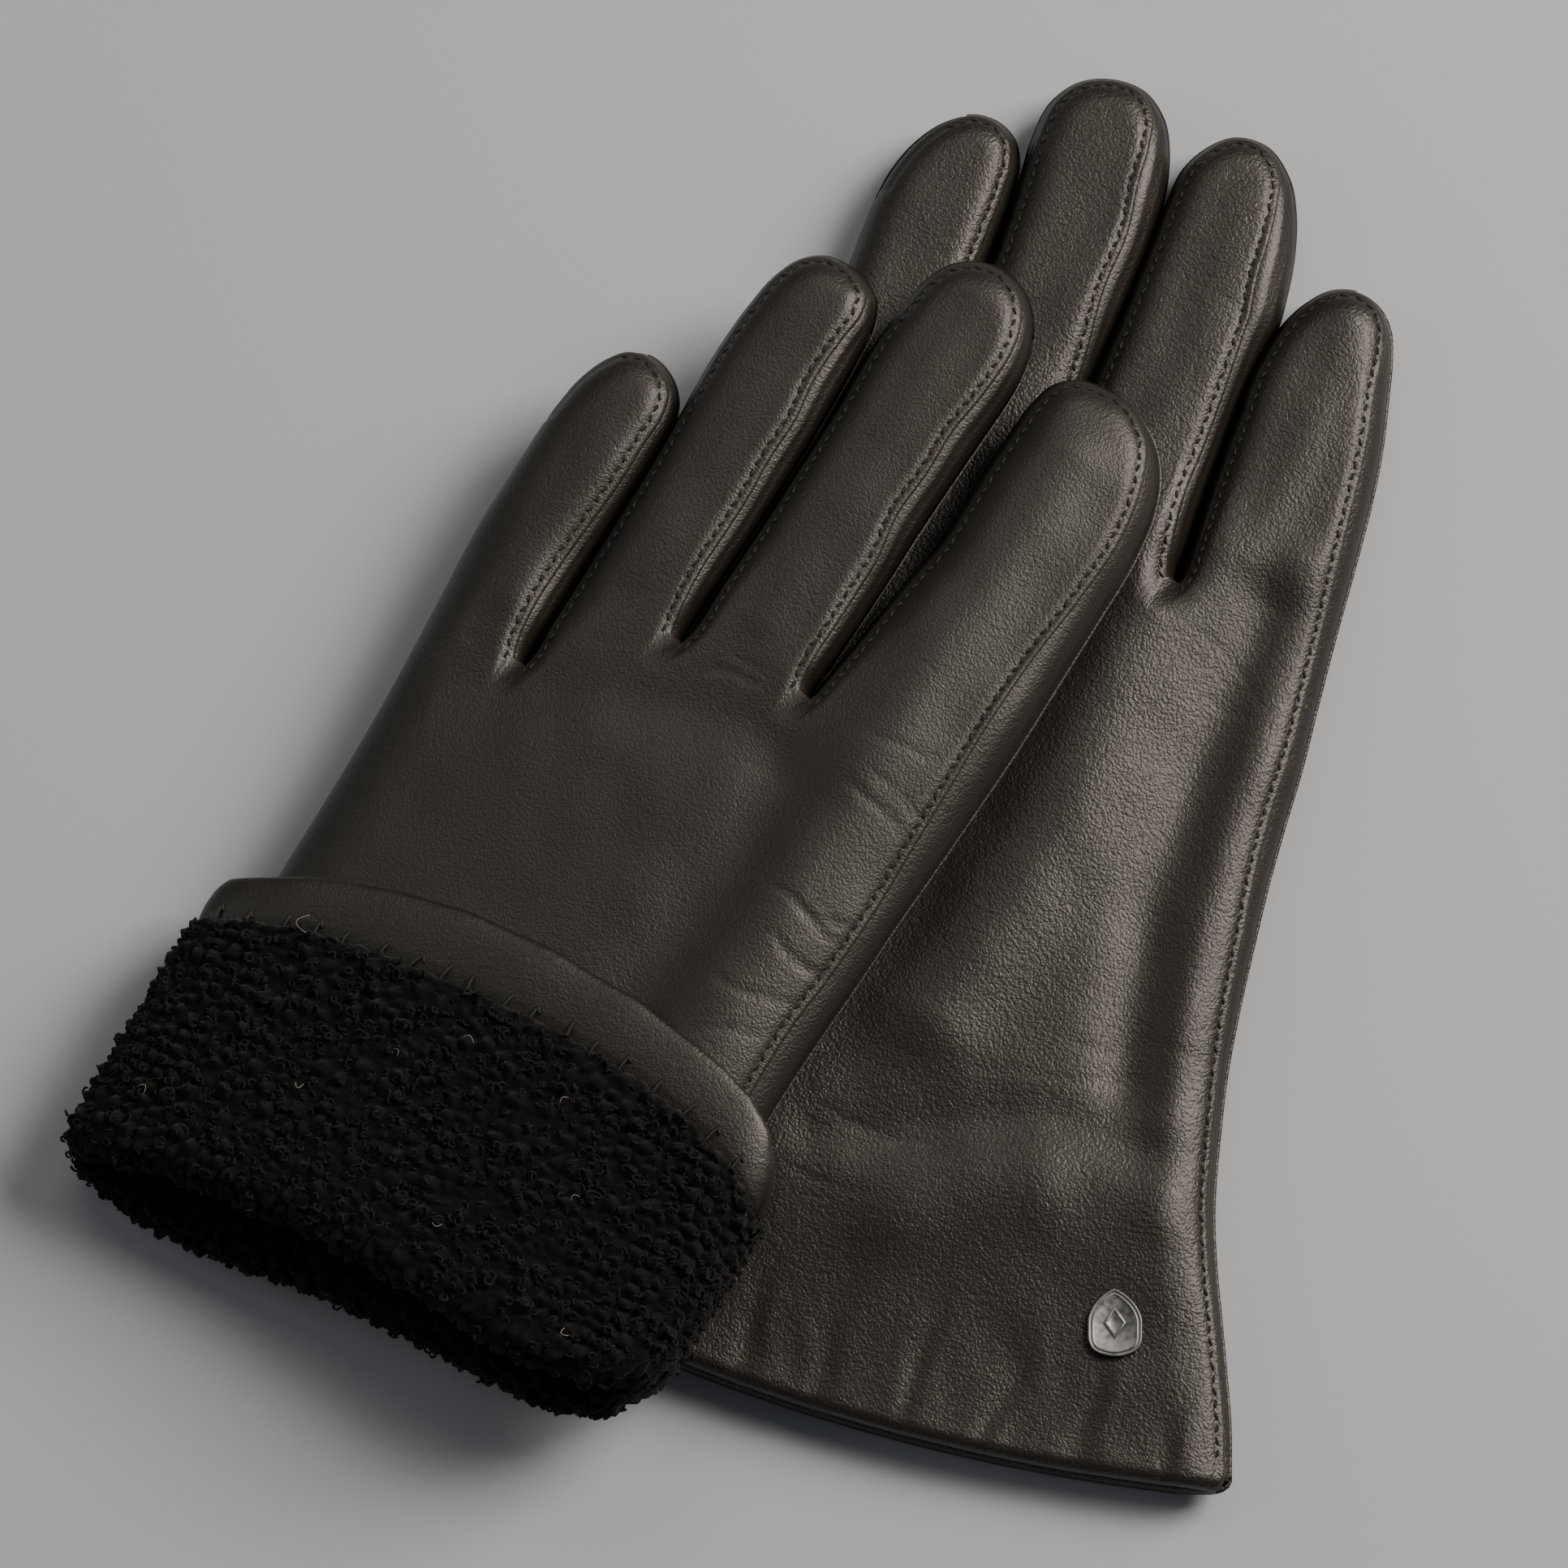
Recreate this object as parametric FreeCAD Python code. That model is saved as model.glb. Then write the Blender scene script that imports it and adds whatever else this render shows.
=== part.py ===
import FreeCAD, Part
import math
import os

Vector = FreeCAD.Vector

# A pair of lined leather gloves, backs upward.  The right-hand glove lies flat on the table.
# The left-hand glove lies across it with its cuff turned back.  Lengths are in millimetres
# and angles in degrees.  Each glove is drawn in its own frame: x runs across the hand, y runs
# from the hem to the finger tips, z runs from the palm to the back.

# ---- walls and thicknesses ---------------------------------------------------------------
LEATHER = 0.8
LINING = 2.2
HAND_THICKNESS = 14.0
EDGE_RADIUS = 5.0
TURNED_PILE = 5.2
FACING_THICKNESS = 1.6
FIT_CLEARANCE = 0.3
SMALLEST_FILLET = 0.05
LEVEL = 1e-6

# ---- fingers: width, gap to the next one, lean, height of the base, reach of the tip -------
# Each list runs from the glove's left side to its right side.
RIGHT_FINGERS = [
    {"name": "index", "width": 22.0, "gap": 2.0, "lean": 6.5, "base": 152.0, "length": 75.5},
    {"name": "middle", "width": 24.0, "gap": 2.0, "lean": 6.0, "base": 156.0, "length": 84.5},
    {"name": "ring", "width": 24.0, "gap": 4.0, "lean": 6.0, "base": 155.0, "length": 80.5},
    {"name": "little", "width": 25.0, "gap": 0.0, "lean": 4.5, "base": 152.0, "length": 60.5},
]
LEFT_FINGERS = [
    {"name": "little", "width": 19.5, "gap": 1.2, "lean": 0.0, "base": 107.0, "length": 62.5},
    {"name": "ring", "width": 19.2, "gap": 3.8, "lean": 0.5, "base": 118.0, "length": 83.5},
    {"name": "middle", "width": 21.8, "gap": 6.2, "lean": 1.0, "base": 128.0, "length": 86.5},
    {"name": "index", "width": 28.8, "gap": 0.0, "lean": 0.0, "base": 128.0, "length": 77.5},
]
FINGER_ROOT_DEPTH = 16.0
CROTCH_DROP = 0.5
CROTCH_STEP = 8.0
CROTCH_RAISE = 3.0

# ---- hands: (height above the hem, centre, width) from the hem up to the knuckles ----------
RIGHT_STATIONS = [(0.0, 0.0, 108.0), (42.0, -4.0, 93.0), (88.0, -10.0, 91.0)]
RIGHT_KNUCKLE_CENTRE = -17.0
RIGHT_HEM_BOW = 5.0
LEFT_STATIONS = [(0.0, 1.0, 100.0), (60.0, 1.3, 96.5), (95.0, 2.0, 97.5)]
LEFT_KNUCKLE_CENTRE = 2.0
LEFT_HEM_BOW = 0.0
HEM_RUN_OUT = 24.0
SIDE_ROUNDING = 30.0
CROTCH_ROUNDING = 6.0
KNUCKLE_ROUNDING = 8.0

# ---- hem, turned-back cuff and knuckle line -------------------------------------------------
HEM_FACING_DEPTH = 12.5
CUFF_DEPTH_MIDDLE = 66.0
CUFF_DEPTH_SIDE = 51.0
CUFF_HALF_WIDTH = 56.0
CUFF_FACING_MIDDLE = 12.5
CUFF_FACING_SIDE = 8.0
FOLD_ROLL = 4.0
KNUCKLE_LINE = 101.0
KNUCKLE_GAP = 0.4

# ---- thumbs, folded flat under the palms ----------------------------------------------------
THUMB_WIDTH = 24.0
THUMB_THICKNESS = 6.6
THUMB_LINING = 1.4
THUMB_EDGE_RADIUS = 2.6
THUMB_SPAN = 38.0
THUMB_MOUTH_RADIUS = 8.0
RIGHT_THUMB = {"root": (-34.5, 80.0), "lean": 20.0}
LEFT_THUMB = {"root": (30.5, 76.5), "lean": -80.0}

# ---- fourchettes, the side walls between the fingers -----------------------------------------
FOURCHETTE_MARGIN = 2.4
FOURCHETTE_CROTCH_DEPTH = 7.0
FOURCHETTE_TIP_REACH = 20.0

# ---- stitches ---------------------------------------------------------------------------------
STITCH_PITCH = 3.0
STITCH_LENGTH = 1.7
STITCH_WIDTH = 0.5
STITCH_HEIGHT = 0.3
SEAM_INSET = 0.6
OVERCAST_PITCH = 6.0
OVERCAST_LENGTH = 4.0
OVERCAST_START = 0.3
OVERCAST_HALF_SPAN = 44.8

# ---- badge on the right glove -----------------------------------------------------------------
BADGE_WIDTH = 9.4
BADGE_HEIGHT = 12.0
BADGE_THICKNESS = 0.8
BADGE_RIM = 0.9
BADGE_RIM_HEIGHT = 0.5
BADGE_SHOULDER = 0.35
BADGE_FOOT = 0.78
BADGE_ARCH_WIDTH = 0.62
BADGE_ARCH_HEIGHT = 0.60
LOZENGE_WIDTH = 4.7
LOZENGE_HEIGHT = 6.1
BADGE_CENTRE = (29.0, 21.0)
BADGE_TURN = 14.3
PRONG_SPACING = 5.0
PRONG_WIDTH = 1.6
PRONG_THICKNESS = 0.5
CLINCH_WIDTH = 8.0
CLINCH_THICKNESS = 0.4

# ---- how the pair lies --------------------------------------------------------------------------
RIGHT_TURN = -14.3
RIGHT_PLACE = (24.9, -113.3)
LEFT_TURN = -30.0
LEFT_PLACE = (-75.5, -94.3)
STACK_CLEARANCE = 1.0
SUPPORT_REACH = 98.0
TILT_HEADING = -21.0

# ---- reach of the cutting blocks, well past the gloves on every side -----------------------------
CUT_LOW = -50.0
CUT_HIGH = 80.0
CUT_SIDE = 200.0
CUT_BELOW_HEM = -100.0
CUT_BEYOND_TIPS = 400.0
CUT_WIDENING = 2.0


def unit(lean):
    """Direction of a finger or thumb that leans this far to the right of the hand's axis."""
    angle = math.radians(lean)
    return Vector(math.sin(angle), math.cos(angle), 0)


def rounded_wire(points, radii):
    """Closed outline through the corner points, each corner rounded by its own radius."""
    count = len(points)
    starts = []
    ends = []
    middles = []
    for i in range(count):
        corner = points[i]
        back = (points[i - 1] - corner).normalize()
        ahead = (points[(i + 1) % count] - corner).normalize()
        half = back.getAngle(ahead) / 2.0
        reach = radii[i] / math.tan(half)
        inward = (back + ahead).normalize()
        centre = corner + inward * (radii[i] / math.sin(half))
        starts.append(corner + back * reach)
        ends.append(corner + ahead * reach)
        middles.append(centre - inward * radii[i])
    edges = []
    for i in range(count):
        edges.append(Part.Arc(starts[i], middles[i], ends[i]).toShape())
        edges.append(Part.LineSegment(ends[i], starts[(i + 1) % count]).toShape())
    return Part.Wire(edges)


def slab(wire, low, high, edge_radius):
    """Solid between two heights, its top and bottom edges rounded when a radius is given."""
    wire = wire.copy()
    wire.translate(Vector(0, 0, low))
    solid = Part.Face(wire).extrude(Vector(0, 0, high - low))
    if edge_radius <= SMALLEST_FILLET:
        return solid
    rims = []
    for edge in solid.Edges:
        box = edge.BoundBox
        if box.ZLength < LEVEL:
            rims.append(edge)
    return solid.makeFillet(edge_radius, rims)


def stadium(start, end, radius):
    """Outline of a strip with round ends between two centres."""
    along = (end - start).normalize()
    side = Vector(-along.y, along.x, 0) * radius
    tip = along * radius
    edges = [
        Part.LineSegment(start - side, end - side).toShape(),
        Part.Arc(end - side, end + tip, end + side).toShape(),
        Part.LineSegment(end + side, start + side).toShape(),
        Part.Arc(start + side, start - tip, start - side).toShape(),
    ]
    return Part.Wire(edges)


def finger_centres(glove):
    """Centre of each finger's base, side by side across the knuckles."""
    fingers = glove["fingers"]
    total = sum(finger["width"] + finger["gap"] for finger in fingers)
    x = glove["knuckle_centre"] - total / 2.0
    centres = []
    for finger in fingers:
        centres.append(Vector(x + finger["width"] / 2.0, finger["base"], 0))
        x += finger["width"] + finger["gap"]
    return centres


def knuckle_sides(glove):
    """Left and right limits of the hand at the knuckles."""
    centres = finger_centres(glove)
    fingers = glove["fingers"]
    left = centres[0].x - fingers[0]["width"] / 2.0
    right = centres[-1].x + fingers[-1]["width"] / 2.0
    return left, right


def crotches(glove):
    """Lowest point of each gap between two fingers."""
    points = []
    centres = finger_centres(glove)
    for i in range(len(centres) - 1):
        finger = glove["fingers"][i]
        x = centres[i].x + (finger["width"] + finger["gap"]) / 2.0
        y = min(centres[i].y, centres[i + 1].y) - CROTCH_DROP
        if centres[i + 1].y - centres[i].y > CROTCH_STEP:
            y += CROTCH_RAISE
        points.append(Vector(x, y, 0))
    return points


def hand_wire(glove, inset):
    """Outline of the hand without its fingers, drawn in by the inset or out if it is negative."""
    stations = glove["stations"]
    left, right = knuckle_sides(glove)
    first = stations[0]
    flare = (stations[1][2] - first[2]) / (stations[1][0] - first[0])
    run_out_width = first[2] - flare * HEM_RUN_OUT
    points = [Vector(first[1] + run_out_width / 2.0, -HEM_RUN_OUT, 0)]
    for height, centre, width in stations[1:]:
        points.append(Vector(centre + width / 2.0, height, 0))
    points.append(Vector(right, glove["fingers"][-1]["base"] - CROTCH_DROP, 0))
    points.extend(reversed(crotches(glove)))
    points.append(Vector(left, glove["fingers"][0]["base"] - CROTCH_DROP, 0))
    for height, centre, width in reversed(stations[1:]):
        points.append(Vector(centre - width / 2.0, height, 0))
    points.append(Vector(first[1] - run_out_width / 2.0, -HEM_RUN_OUT, 0))
    sides = len(stations) - 1
    radii = [KNUCKLE_ROUNDING] + [SIDE_ROUNDING] * sides + [KNUCKLE_ROUNDING]
    radii += [CROTCH_ROUNDING] * (len(glove["fingers"]) - 1)
    radii += [KNUCKLE_ROUNDING] + [SIDE_ROUNDING] * sides + [KNUCKLE_ROUNDING]
    wire = rounded_wire(points, radii)
    if inset == 0:
        return wire
    return wire.makeOffset2D(-inset)


def hand_solid(glove, inset):
    """Hand block with rounded edges, every face moved inward by the inset."""
    wire = hand_wire(glove, inset)
    return slab(wire, inset, HAND_THICKNESS - inset, EDGE_RADIUS - inset)


def finger_solid(finger, centre, inset):
    """One finger block with a round tip, every face moved inward by the inset."""
    along = unit(finger["lean"])
    radius = finger["width"] / 2.0
    start = centre - along * FINGER_ROOT_DEPTH
    end = centre + along * (finger["length"] - radius)
    wire = stadium(start, end, radius - inset)
    return slab(wire, inset, HAND_THICKNESS - inset, EDGE_RADIUS - inset)


def thumb_ends(thumb):
    """Centres of the thumb's round root and round tip."""
    root = Vector(thumb["root"][0], thumb["root"][1], 0)
    return root, root + unit(thumb["lean"]) * THUMB_SPAN


def thumb_block(thumb, inset):
    """Thumb block, every face moved inward by the inset."""
    root, tip = thumb_ends(thumb)
    wire = stadium(root, tip, THUMB_WIDTH / 2.0 - inset)
    return slab(wire, inset, THUMB_THICKNESS - inset, THUMB_EDGE_RADIUS - inset)


def thumb_pocket(thumb, inset):
    """Room that the folded thumb takes out of the palm, grown by the inset."""
    root, tip = thumb_ends(thumb)
    grow = FIT_CLEARANCE + inset
    wire = stadium(root, tip, THUMB_WIDTH / 2.0 + grow)
    return slab(wire, -HAND_THICKNESS, THUMB_THICKNESS + grow, 0)


def thumb_mouth(thumb):
    """Hole that joins the inside of the hand to the inside of the thumb."""
    root = Vector(thumb["root"][0], thumb["root"][1], THUMB_THICKNESS / 2.0)
    high = THUMB_THICKNESS / 2.0 + FIT_CLEARANCE + LEATHER + LINING + FIT_CLEARANCE
    return Part.makeCylinder(THUMB_MOUTH_RADIUS, high, root)


def glove_block(glove, inset):
    """Whole glove block with its fingers, less the thumb's pocket."""
    block = hand_solid(glove, inset)
    centres = finger_centres(glove)
    for finger, centre in zip(glove["fingers"], centres):
        block = block.fuse(finger_solid(finger, centre, inset))
    block = block.removeSplitter()
    return block.cut(thumb_pocket(glove["thumb"], inset))


def region_above(glove, middle, side, half_width):
    """Everything beyond a bowed line across the hand, given by its middle and side heights."""
    centre = glove["stations"][0][1]
    reach = CUT_WIDENING * half_width
    drop = (side - middle) * CUT_WIDENING ** 2
    start = Vector(centre - reach, middle + drop, CUT_LOW)
    top = Vector(centre, middle, CUT_LOW)
    end = Vector(centre + reach, middle + drop, CUT_LOW)
    corner_right = Vector(centre + reach, CUT_BEYOND_TIPS, CUT_LOW)
    corner_left = Vector(centre - reach, CUT_BEYOND_TIPS, CUT_LOW)
    if abs(drop) < LEVEL:
        edge = Part.LineSegment(start, end).toShape()
    else:
        edge = Part.Arc(start, top, end).toShape()
    wire = Part.Wire([
        edge,
        Part.LineSegment(end, corner_right).toShape(),
        Part.LineSegment(corner_right, corner_left).toShape(),
        Part.LineSegment(corner_left, start).toShape(),
    ])
    return Part.Face(wire).extrude(Vector(0, 0, CUT_HIGH - CUT_LOW))


def beyond_hem(glove, depth):
    """Everything further up the glove than this depth behind its hem."""
    half_width = glove["stations"][0][2] / 2.0
    bow = glove["hem_bow"]
    return region_above(glove, depth - bow, depth, half_width)


def beyond_cuff(glove, depth_middle, depth_side):
    """Everything further up the glove than a line on the turned-back cuff."""
    return region_above(glove, depth_middle, depth_side, CUFF_HALF_WIDTH)


def box_between(x0, x1, y0, y1, z0, z1):
    """Box from its lowest and highest corners."""
    return Part.makeBox(x1 - x0, y1 - y0, z1 - z0, Vector(x0, y0, z0))


def pocket_walls(thumb):
    """Room taken by the thumb's pocket with its walls and its roof."""
    root, tip = thumb_ends(thumb)
    grow = FIT_CLEARANCE + LEATHER + LINING
    roof = THUMB_THICKNESS + grow + FIT_CLEARANCE
    wire = stadium(root, tip, THUMB_WIDTH / 2.0 + grow + FIT_CLEARANCE)
    return slab(wire, 0, roof, 0)


def palm_region(glove):
    """Lower half of the glove, with the walls and roof of the thumb's pocket."""
    half = HAND_THICKNESS / 2.0
    lower = box_between(-CUT_SIDE, CUT_SIDE, CUT_BELOW_HEM, CUT_BEYOND_TIPS, CUT_LOW, half)
    return lower.fuse(pocket_walls(glove["thumb"]))


def finger_gap_region(glove, index):
    """Room around the gap after one finger, where the fourchette makes the side walls."""
    centres = finger_centres(glove)
    near = glove["fingers"][index]
    far = glove["fingers"][index + 1]
    crotch = crotches(glove)[index]
    low_y = crotch.y - FOURCHETTE_CROTCH_DEPTH
    reach = max(near["length"], far["length"]) + FOURCHETTE_TIP_REACH
    near_tip = centres[index] + unit(near["lean"]) * reach
    far_tip = centres[index + 1] + unit(far["lean"]) * reach
    near_base = centres[index] - unit(near["lean"]) * (centres[index].y - low_y)
    far_base = centres[index + 1] - unit(far["lean"]) * (centres[index + 1].y - low_y)
    wire = Part.makePolygon([near_base, far_base, far_tip, near_tip, near_base])
    wire.translate(Vector(0, 0, FOURCHETTE_MARGIN))
    height = HAND_THICKNESS - 2.0 * FOURCHETTE_MARGIN
    region = Part.Face(wire).extrude(Vector(0, 0, height))
    return region.cut(pocket_walls(glove["thumb"]))


def stitch(place, heading, height):
    """One small stitch that lies flat on the leather."""
    bar = box_between(-STITCH_WIDTH / 2, STITCH_WIDTH / 2, -STITCH_LENGTH / 2, STITCH_LENGTH / 2,
                      0, STITCH_HEIGHT)
    bar.rotate(Vector(0, 0, 0), Vector(0, 0, 1), -heading)
    bar.translate(Vector(place.x, place.y, height))
    return bar


def stitch_row(start, end):
    """Row of stitches on the back of the glove from one point towards another."""
    run = end - start
    heading = math.degrees(math.atan2(run.x, run.y))
    count = int(run.Length / STITCH_PITCH)
    stitches = []
    for i in range(count):
        place = start + run * ((i + 0.5) / count)
        stitches.append(stitch(place, heading, HAND_THICKNESS))
    return stitches


def finger_side_line(glove, index, side):
    """Line of the seam along one side of a finger, from beside its base to below its tip."""
    finger = glove["fingers"][index]
    centre = finger_centres(glove)[index]
    along = unit(finger["lean"])
    across = Vector(along.y, -along.x, 0) * side
    inset = finger["width"] / 2.0 - EDGE_RADIUS - SEAM_INSET
    start = centre + across * inset + along * STITCH_PITCH
    end = centre + across * inset + along * (finger["length"] - finger["width"] / 2.0)
    return start, end


def finger_stitches(glove):
    """Stitches along both sides of every gap between the fingers."""
    stitches = []
    last = len(glove["fingers"]) - 1
    for index in range(last + 1):
        if index > 0:
            start, end = finger_side_line(glove, index, -1)
            stitches += stitch_row(start, end)
        if index < last:
            start, end = finger_side_line(glove, index, 1)
            stitches += stitch_row(start, end)
    return stitches


def side_stitches(glove, lowest):
    """Stitches along the glove's right side, from this height up to its last finger's tip."""
    inset = EDGE_RADIUS + SEAM_INSET
    points = []
    for height, centre, width in glove["stations"]:
        points.append(Vector(centre + width / 2.0 - inset, height, 0))
    start, end = finger_side_line(glove, len(glove["fingers"]) - 1, 1)
    points += [start, end]
    stitches = []
    for i in range(len(points) - 1):
        stitches += stitch_row(points[i], points[i + 1])
    return [bar for bar in stitches if bar.BoundBox.YMin > lowest]


def shell_layers(glove, keep):
    """Leather shell and lining of one glove, kept only beyond its hem."""
    outer = glove_block(glove, 0.0)
    middle = glove_block(glove, LEATHER)
    inner = glove_block(glove, LEATHER + LINING)
    mouth = thumb_mouth(glove["thumb"])
    leather = outer.cut(middle).common(keep).cut(mouth)
    lining = middle.cut(inner).cut(mouth)
    return leather, lining, middle


def split_shell(glove, leather):
    """Back panel, palm panel and fourchettes cut from the leather shell."""
    fourchettes = {}
    rest = leather
    for index in range(len(glove["fingers"]) - 1):
        region = finger_gap_region(glove, index)
        near = glove["fingers"][index]["name"]
        far = glove["fingers"][index + 1]["name"]
        fourchettes[near + "_" + far] = leather.common(region)
        rest = rest.cut(region)
    lower = palm_region(glove)
    return rest.cut(lower), rest.common(lower), fourchettes


def split_lining(glove, lining):
    """Back and palm halves of the lining."""
    lower = palm_region(glove)
    return lining.cut(lower), lining.common(lower)


def thumb_pieces(thumb):
    """Leather and lining of a folded thumb."""
    mouth = thumb_mouth(thumb)
    outer = thumb_block(thumb, 0.0)
    middle = thumb_block(thumb, LEATHER)
    inner = thumb_block(thumb, LEATHER + THUMB_LINING)
    leather = outer.cut(middle).cut(mouth)
    lining = middle.cut(inner).cut(mouth)
    return leather, lining


def badge_wire(shrink):
    """Pointed-arch shield: straight sides, a shallow round foot and two arcs to the point."""
    half = BADGE_WIDTH / 2.0 - shrink
    high = BADGE_HEIGHT / 2.0 - shrink
    shoulder = high * BADGE_SHOULDER
    foot = -high * BADGE_FOOT
    bulge = half * BADGE_ARCH_WIDTH
    arch = (shoulder + high) * BADGE_ARCH_HEIGHT
    left_foot = Vector(-half, foot, 0)
    right_foot = Vector(half, foot, 0)
    right_shoulder = Vector(half, shoulder, 0)
    left_shoulder = Vector(-half, shoulder, 0)
    point = Vector(0, high, 0)
    right_arch = Vector(bulge, arch, 0)
    left_arch = Vector(-bulge, arch, 0)
    edges = [
        Part.Arc(left_foot, Vector(0, -high, 0), right_foot).toShape(),
        Part.LineSegment(right_foot, right_shoulder).toShape(),
        Part.Arc(right_shoulder, right_arch, point).toShape(),
        Part.Arc(point, left_arch, left_shoulder).toShape(),
        Part.LineSegment(left_shoulder, left_foot).toShape(),
    ]
    return Part.Wire(edges)


def place_badge(shape):
    """Move a badge piece from its own centre to its place on the back of the right glove."""
    shape.rotate(Vector(0, 0, 0), Vector(0, 0, 1), BADGE_TURN)
    shape.translate(Vector(BADGE_CENTRE[0], BADGE_CENTRE[1], HAND_THICKNESS))
    return shape


def badge_prongs():
    """Two prongs from the badge through the leather to the clinch plate."""
    depth = LEATHER + CLINCH_THICKNESS
    prongs = []
    for side in (-1, 1):
        x = side * PRONG_SPACING / 2.0
        prongs.append(box_between(x - PRONG_THICKNESS / 2, x + PRONG_THICKNESS / 2,
                                  -PRONG_WIDTH / 2, PRONG_WIDTH / 2, -depth, 0))
    return prongs


def badge_plate():
    """Badge with its raised rim, a raised lozenge and the two prongs."""
    plate = slab(badge_wire(0), 0, BADGE_THICKNESS, 0)
    rim_top = BADGE_THICKNESS + BADGE_RIM_HEIGHT
    rim = slab(badge_wire(0), BADGE_THICKNESS, rim_top, 0)
    rim = rim.cut(slab(badge_wire(BADGE_RIM), BADGE_THICKNESS, rim_top, 0))
    across = Vector(LOZENGE_WIDTH / 2.0, 0, 0)
    upright = Vector(0, LOZENGE_HEIGHT / 2.0, 0)
    lozenge = Part.makePolygon([across, upright, -across, -upright, across])
    motif = slab(Part.Wire(lozenge), BADGE_THICKNESS, rim_top, 0)
    plate = plate.fuse([rim, motif] + badge_prongs())
    return place_badge(plate)


def clinch_solid():
    """Plate inside the glove that the badge's prongs are bent over."""
    half = CLINCH_WIDTH / 2.0
    low = -LEATHER - CLINCH_THICKNESS
    return place_badge(box_between(-half, half, -half, half, low, -LEATHER))


def lay_right(shape):
    """Lay a piece of the right glove on the table."""
    shape.rotate(Vector(0, 0, 0), Vector(0, 0, 1), RIGHT_TURN)
    shape.translate(Vector(RIGHT_PLACE[0], RIGHT_PLACE[1], 0))
    return shape


def lay_left(shape, lift):
    """Lay a piece of the left glove across the right one, its cuff's corner on the table."""
    tilt = math.degrees(math.atan2(HAND_THICKNESS + STACK_CLEARANCE, SUPPORT_REACH))
    heading = math.radians(TILT_HEADING)
    axis = Vector(math.sin(heading), -math.cos(heading), 0)
    shape.rotate(Vector(0, 0, 0), Vector(0, 0, 1), LEFT_TURN)
    shape.rotate(Vector(0, 0, 0), axis, tilt)
    shape.translate(Vector(LEFT_PLACE[0], LEFT_PLACE[1], lift))
    return shape


def right_glove():
    """Every piece of the right-hand glove, in its own frame."""
    glove = {
        "fingers": RIGHT_FINGERS,
        "stations": RIGHT_STATIONS,
        "knuckle_centre": RIGHT_KNUCKLE_CENTRE,
        "hem_bow": RIGHT_HEM_BOW,
        "thumb": RIGHT_THUMB,
    }
    beyond = beyond_hem(glove, 0.0)
    beyond_facing = beyond_hem(glove, HEM_FACING_DEPTH)
    leather, lining, middle = shell_layers(glove, beyond)
    back, palm, fourchettes = split_shell(glove, leather)
    lining = lining.common(beyond_facing)
    lining_back, lining_palm = split_lining(glove, lining)
    facing = middle.cut(hand_solid(glove, 2.0 * LEATHER)).common(beyond).cut(beyond_facing)
    prongs = [place_badge(prong) for prong in badge_prongs()]
    back = back.cut(prongs)
    clinch_room = clinch_solid()
    lining_back = lining_back.cut(clinch_room)
    clinch = clinch_room.cut(prongs)
    thumb_leather, thumb_lining = thumb_pieces(RIGHT_THUMB)
    pieces = {
        "right_back_leather": back,
        "right_palm_leather": palm,
        "right_back_lining": lining_back,
        "right_palm_lining": lining_palm,
        "right_hem_facing": facing,
        "right_thumb_leather": thumb_leather,
        "right_thumb_lining": thumb_lining,
        "right_finger_stitches": Part.makeCompound(finger_stitches(glove)),
        "right_side_stitches": Part.makeCompound(side_stitches(glove, STITCH_PITCH)),
        "badge_plate": badge_plate(),
        "badge_clinch_plate": clinch,
    }
    for name, shape in fourchettes.items():
        pieces["right_fourchette_" + name] = shape
    return pieces


def cuff_ring(glove, inner, outer, near, far):
    """Sleeve around the hand between two offsets, from one cut to the next."""
    sleeve = hand_solid(glove, -outer).cut(hand_solid(glove, -inner))
    return sleeve.common(near).cut(far)


def turned_cuff(glove):
    """Leather, pile and hem facing of the turned-back cuff."""
    fold = beyond_hem(glove, 0.0)
    top = beyond_cuff(glove, CUFF_DEPTH_MIDDLE, CUFF_DEPTH_SIDE)
    facing_line = beyond_cuff(glove, CUFF_DEPTH_MIDDLE - CUFF_FACING_MIDDLE,
                              CUFF_DEPTH_SIDE - CUFF_FACING_SIDE)
    leather = cuff_ring(glove, 0.0, LEATHER, fold, top)
    bend = beyond_hem(glove, -LEATHER)
    leather_bend = hand_solid(glove, -LEATHER).cut(hand_solid(glove, LEATHER)).common(bend).cut(fold)
    leather = leather.fuse(leather_bend).removeSplitter()
    outside = LEATHER + TURNED_PILE
    pile = cuff_ring(glove, LEATHER, outside, bend, facing_line)
    roll = beyond_hem(glove, -LEATHER - FOLD_ROLL)
    pile_roll = hand_solid(glove, -outside).cut(hand_solid(glove, LEATHER + LINING))
    pile_roll = pile_roll.common(roll).cut(bend)
    pile = pile.fuse(pile_roll).removeSplitter()
    facing = cuff_ring(glove, LEATHER, LEATHER + FACING_THICKNESS, facing_line, top)
    return leather, pile, facing


def cuff_line(middle, side, across):
    """Height of a bowed line across the turned-back cuff at this distance from its middle."""
    return middle + (side - middle) * (across / CUFF_HALF_WIDTH) ** 2


def overcast_stitches(glove):
    """Whip stitches from the hem facing over the edge of the pile, on the back of the cuff."""
    middle = CUFF_DEPTH_MIDDLE - CUFF_FACING_MIDDLE
    side = CUFF_DEPTH_SIDE - CUFF_FACING_SIDE
    height = HAND_THICKNESS + LEATHER + FACING_THICKNESS
    centre = glove["stations"][0][1]
    stitches = []
    steps = int(OVERCAST_HALF_SPAN / OVERCAST_PITCH)
    for i in range(-steps, steps + 1):
        across = i * OVERCAST_PITCH
        along = cuff_line(middle, side, across)
        bar = box_between(-STITCH_WIDTH / 2, STITCH_WIDTH / 2, OVERCAST_START, OVERCAST_LENGTH,
                          0, STITCH_HEIGHT)
        bar.translate(Vector(centre + across, along + SEAM_INSET, height))
        stitches.append(bar)
    return stitches


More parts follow.
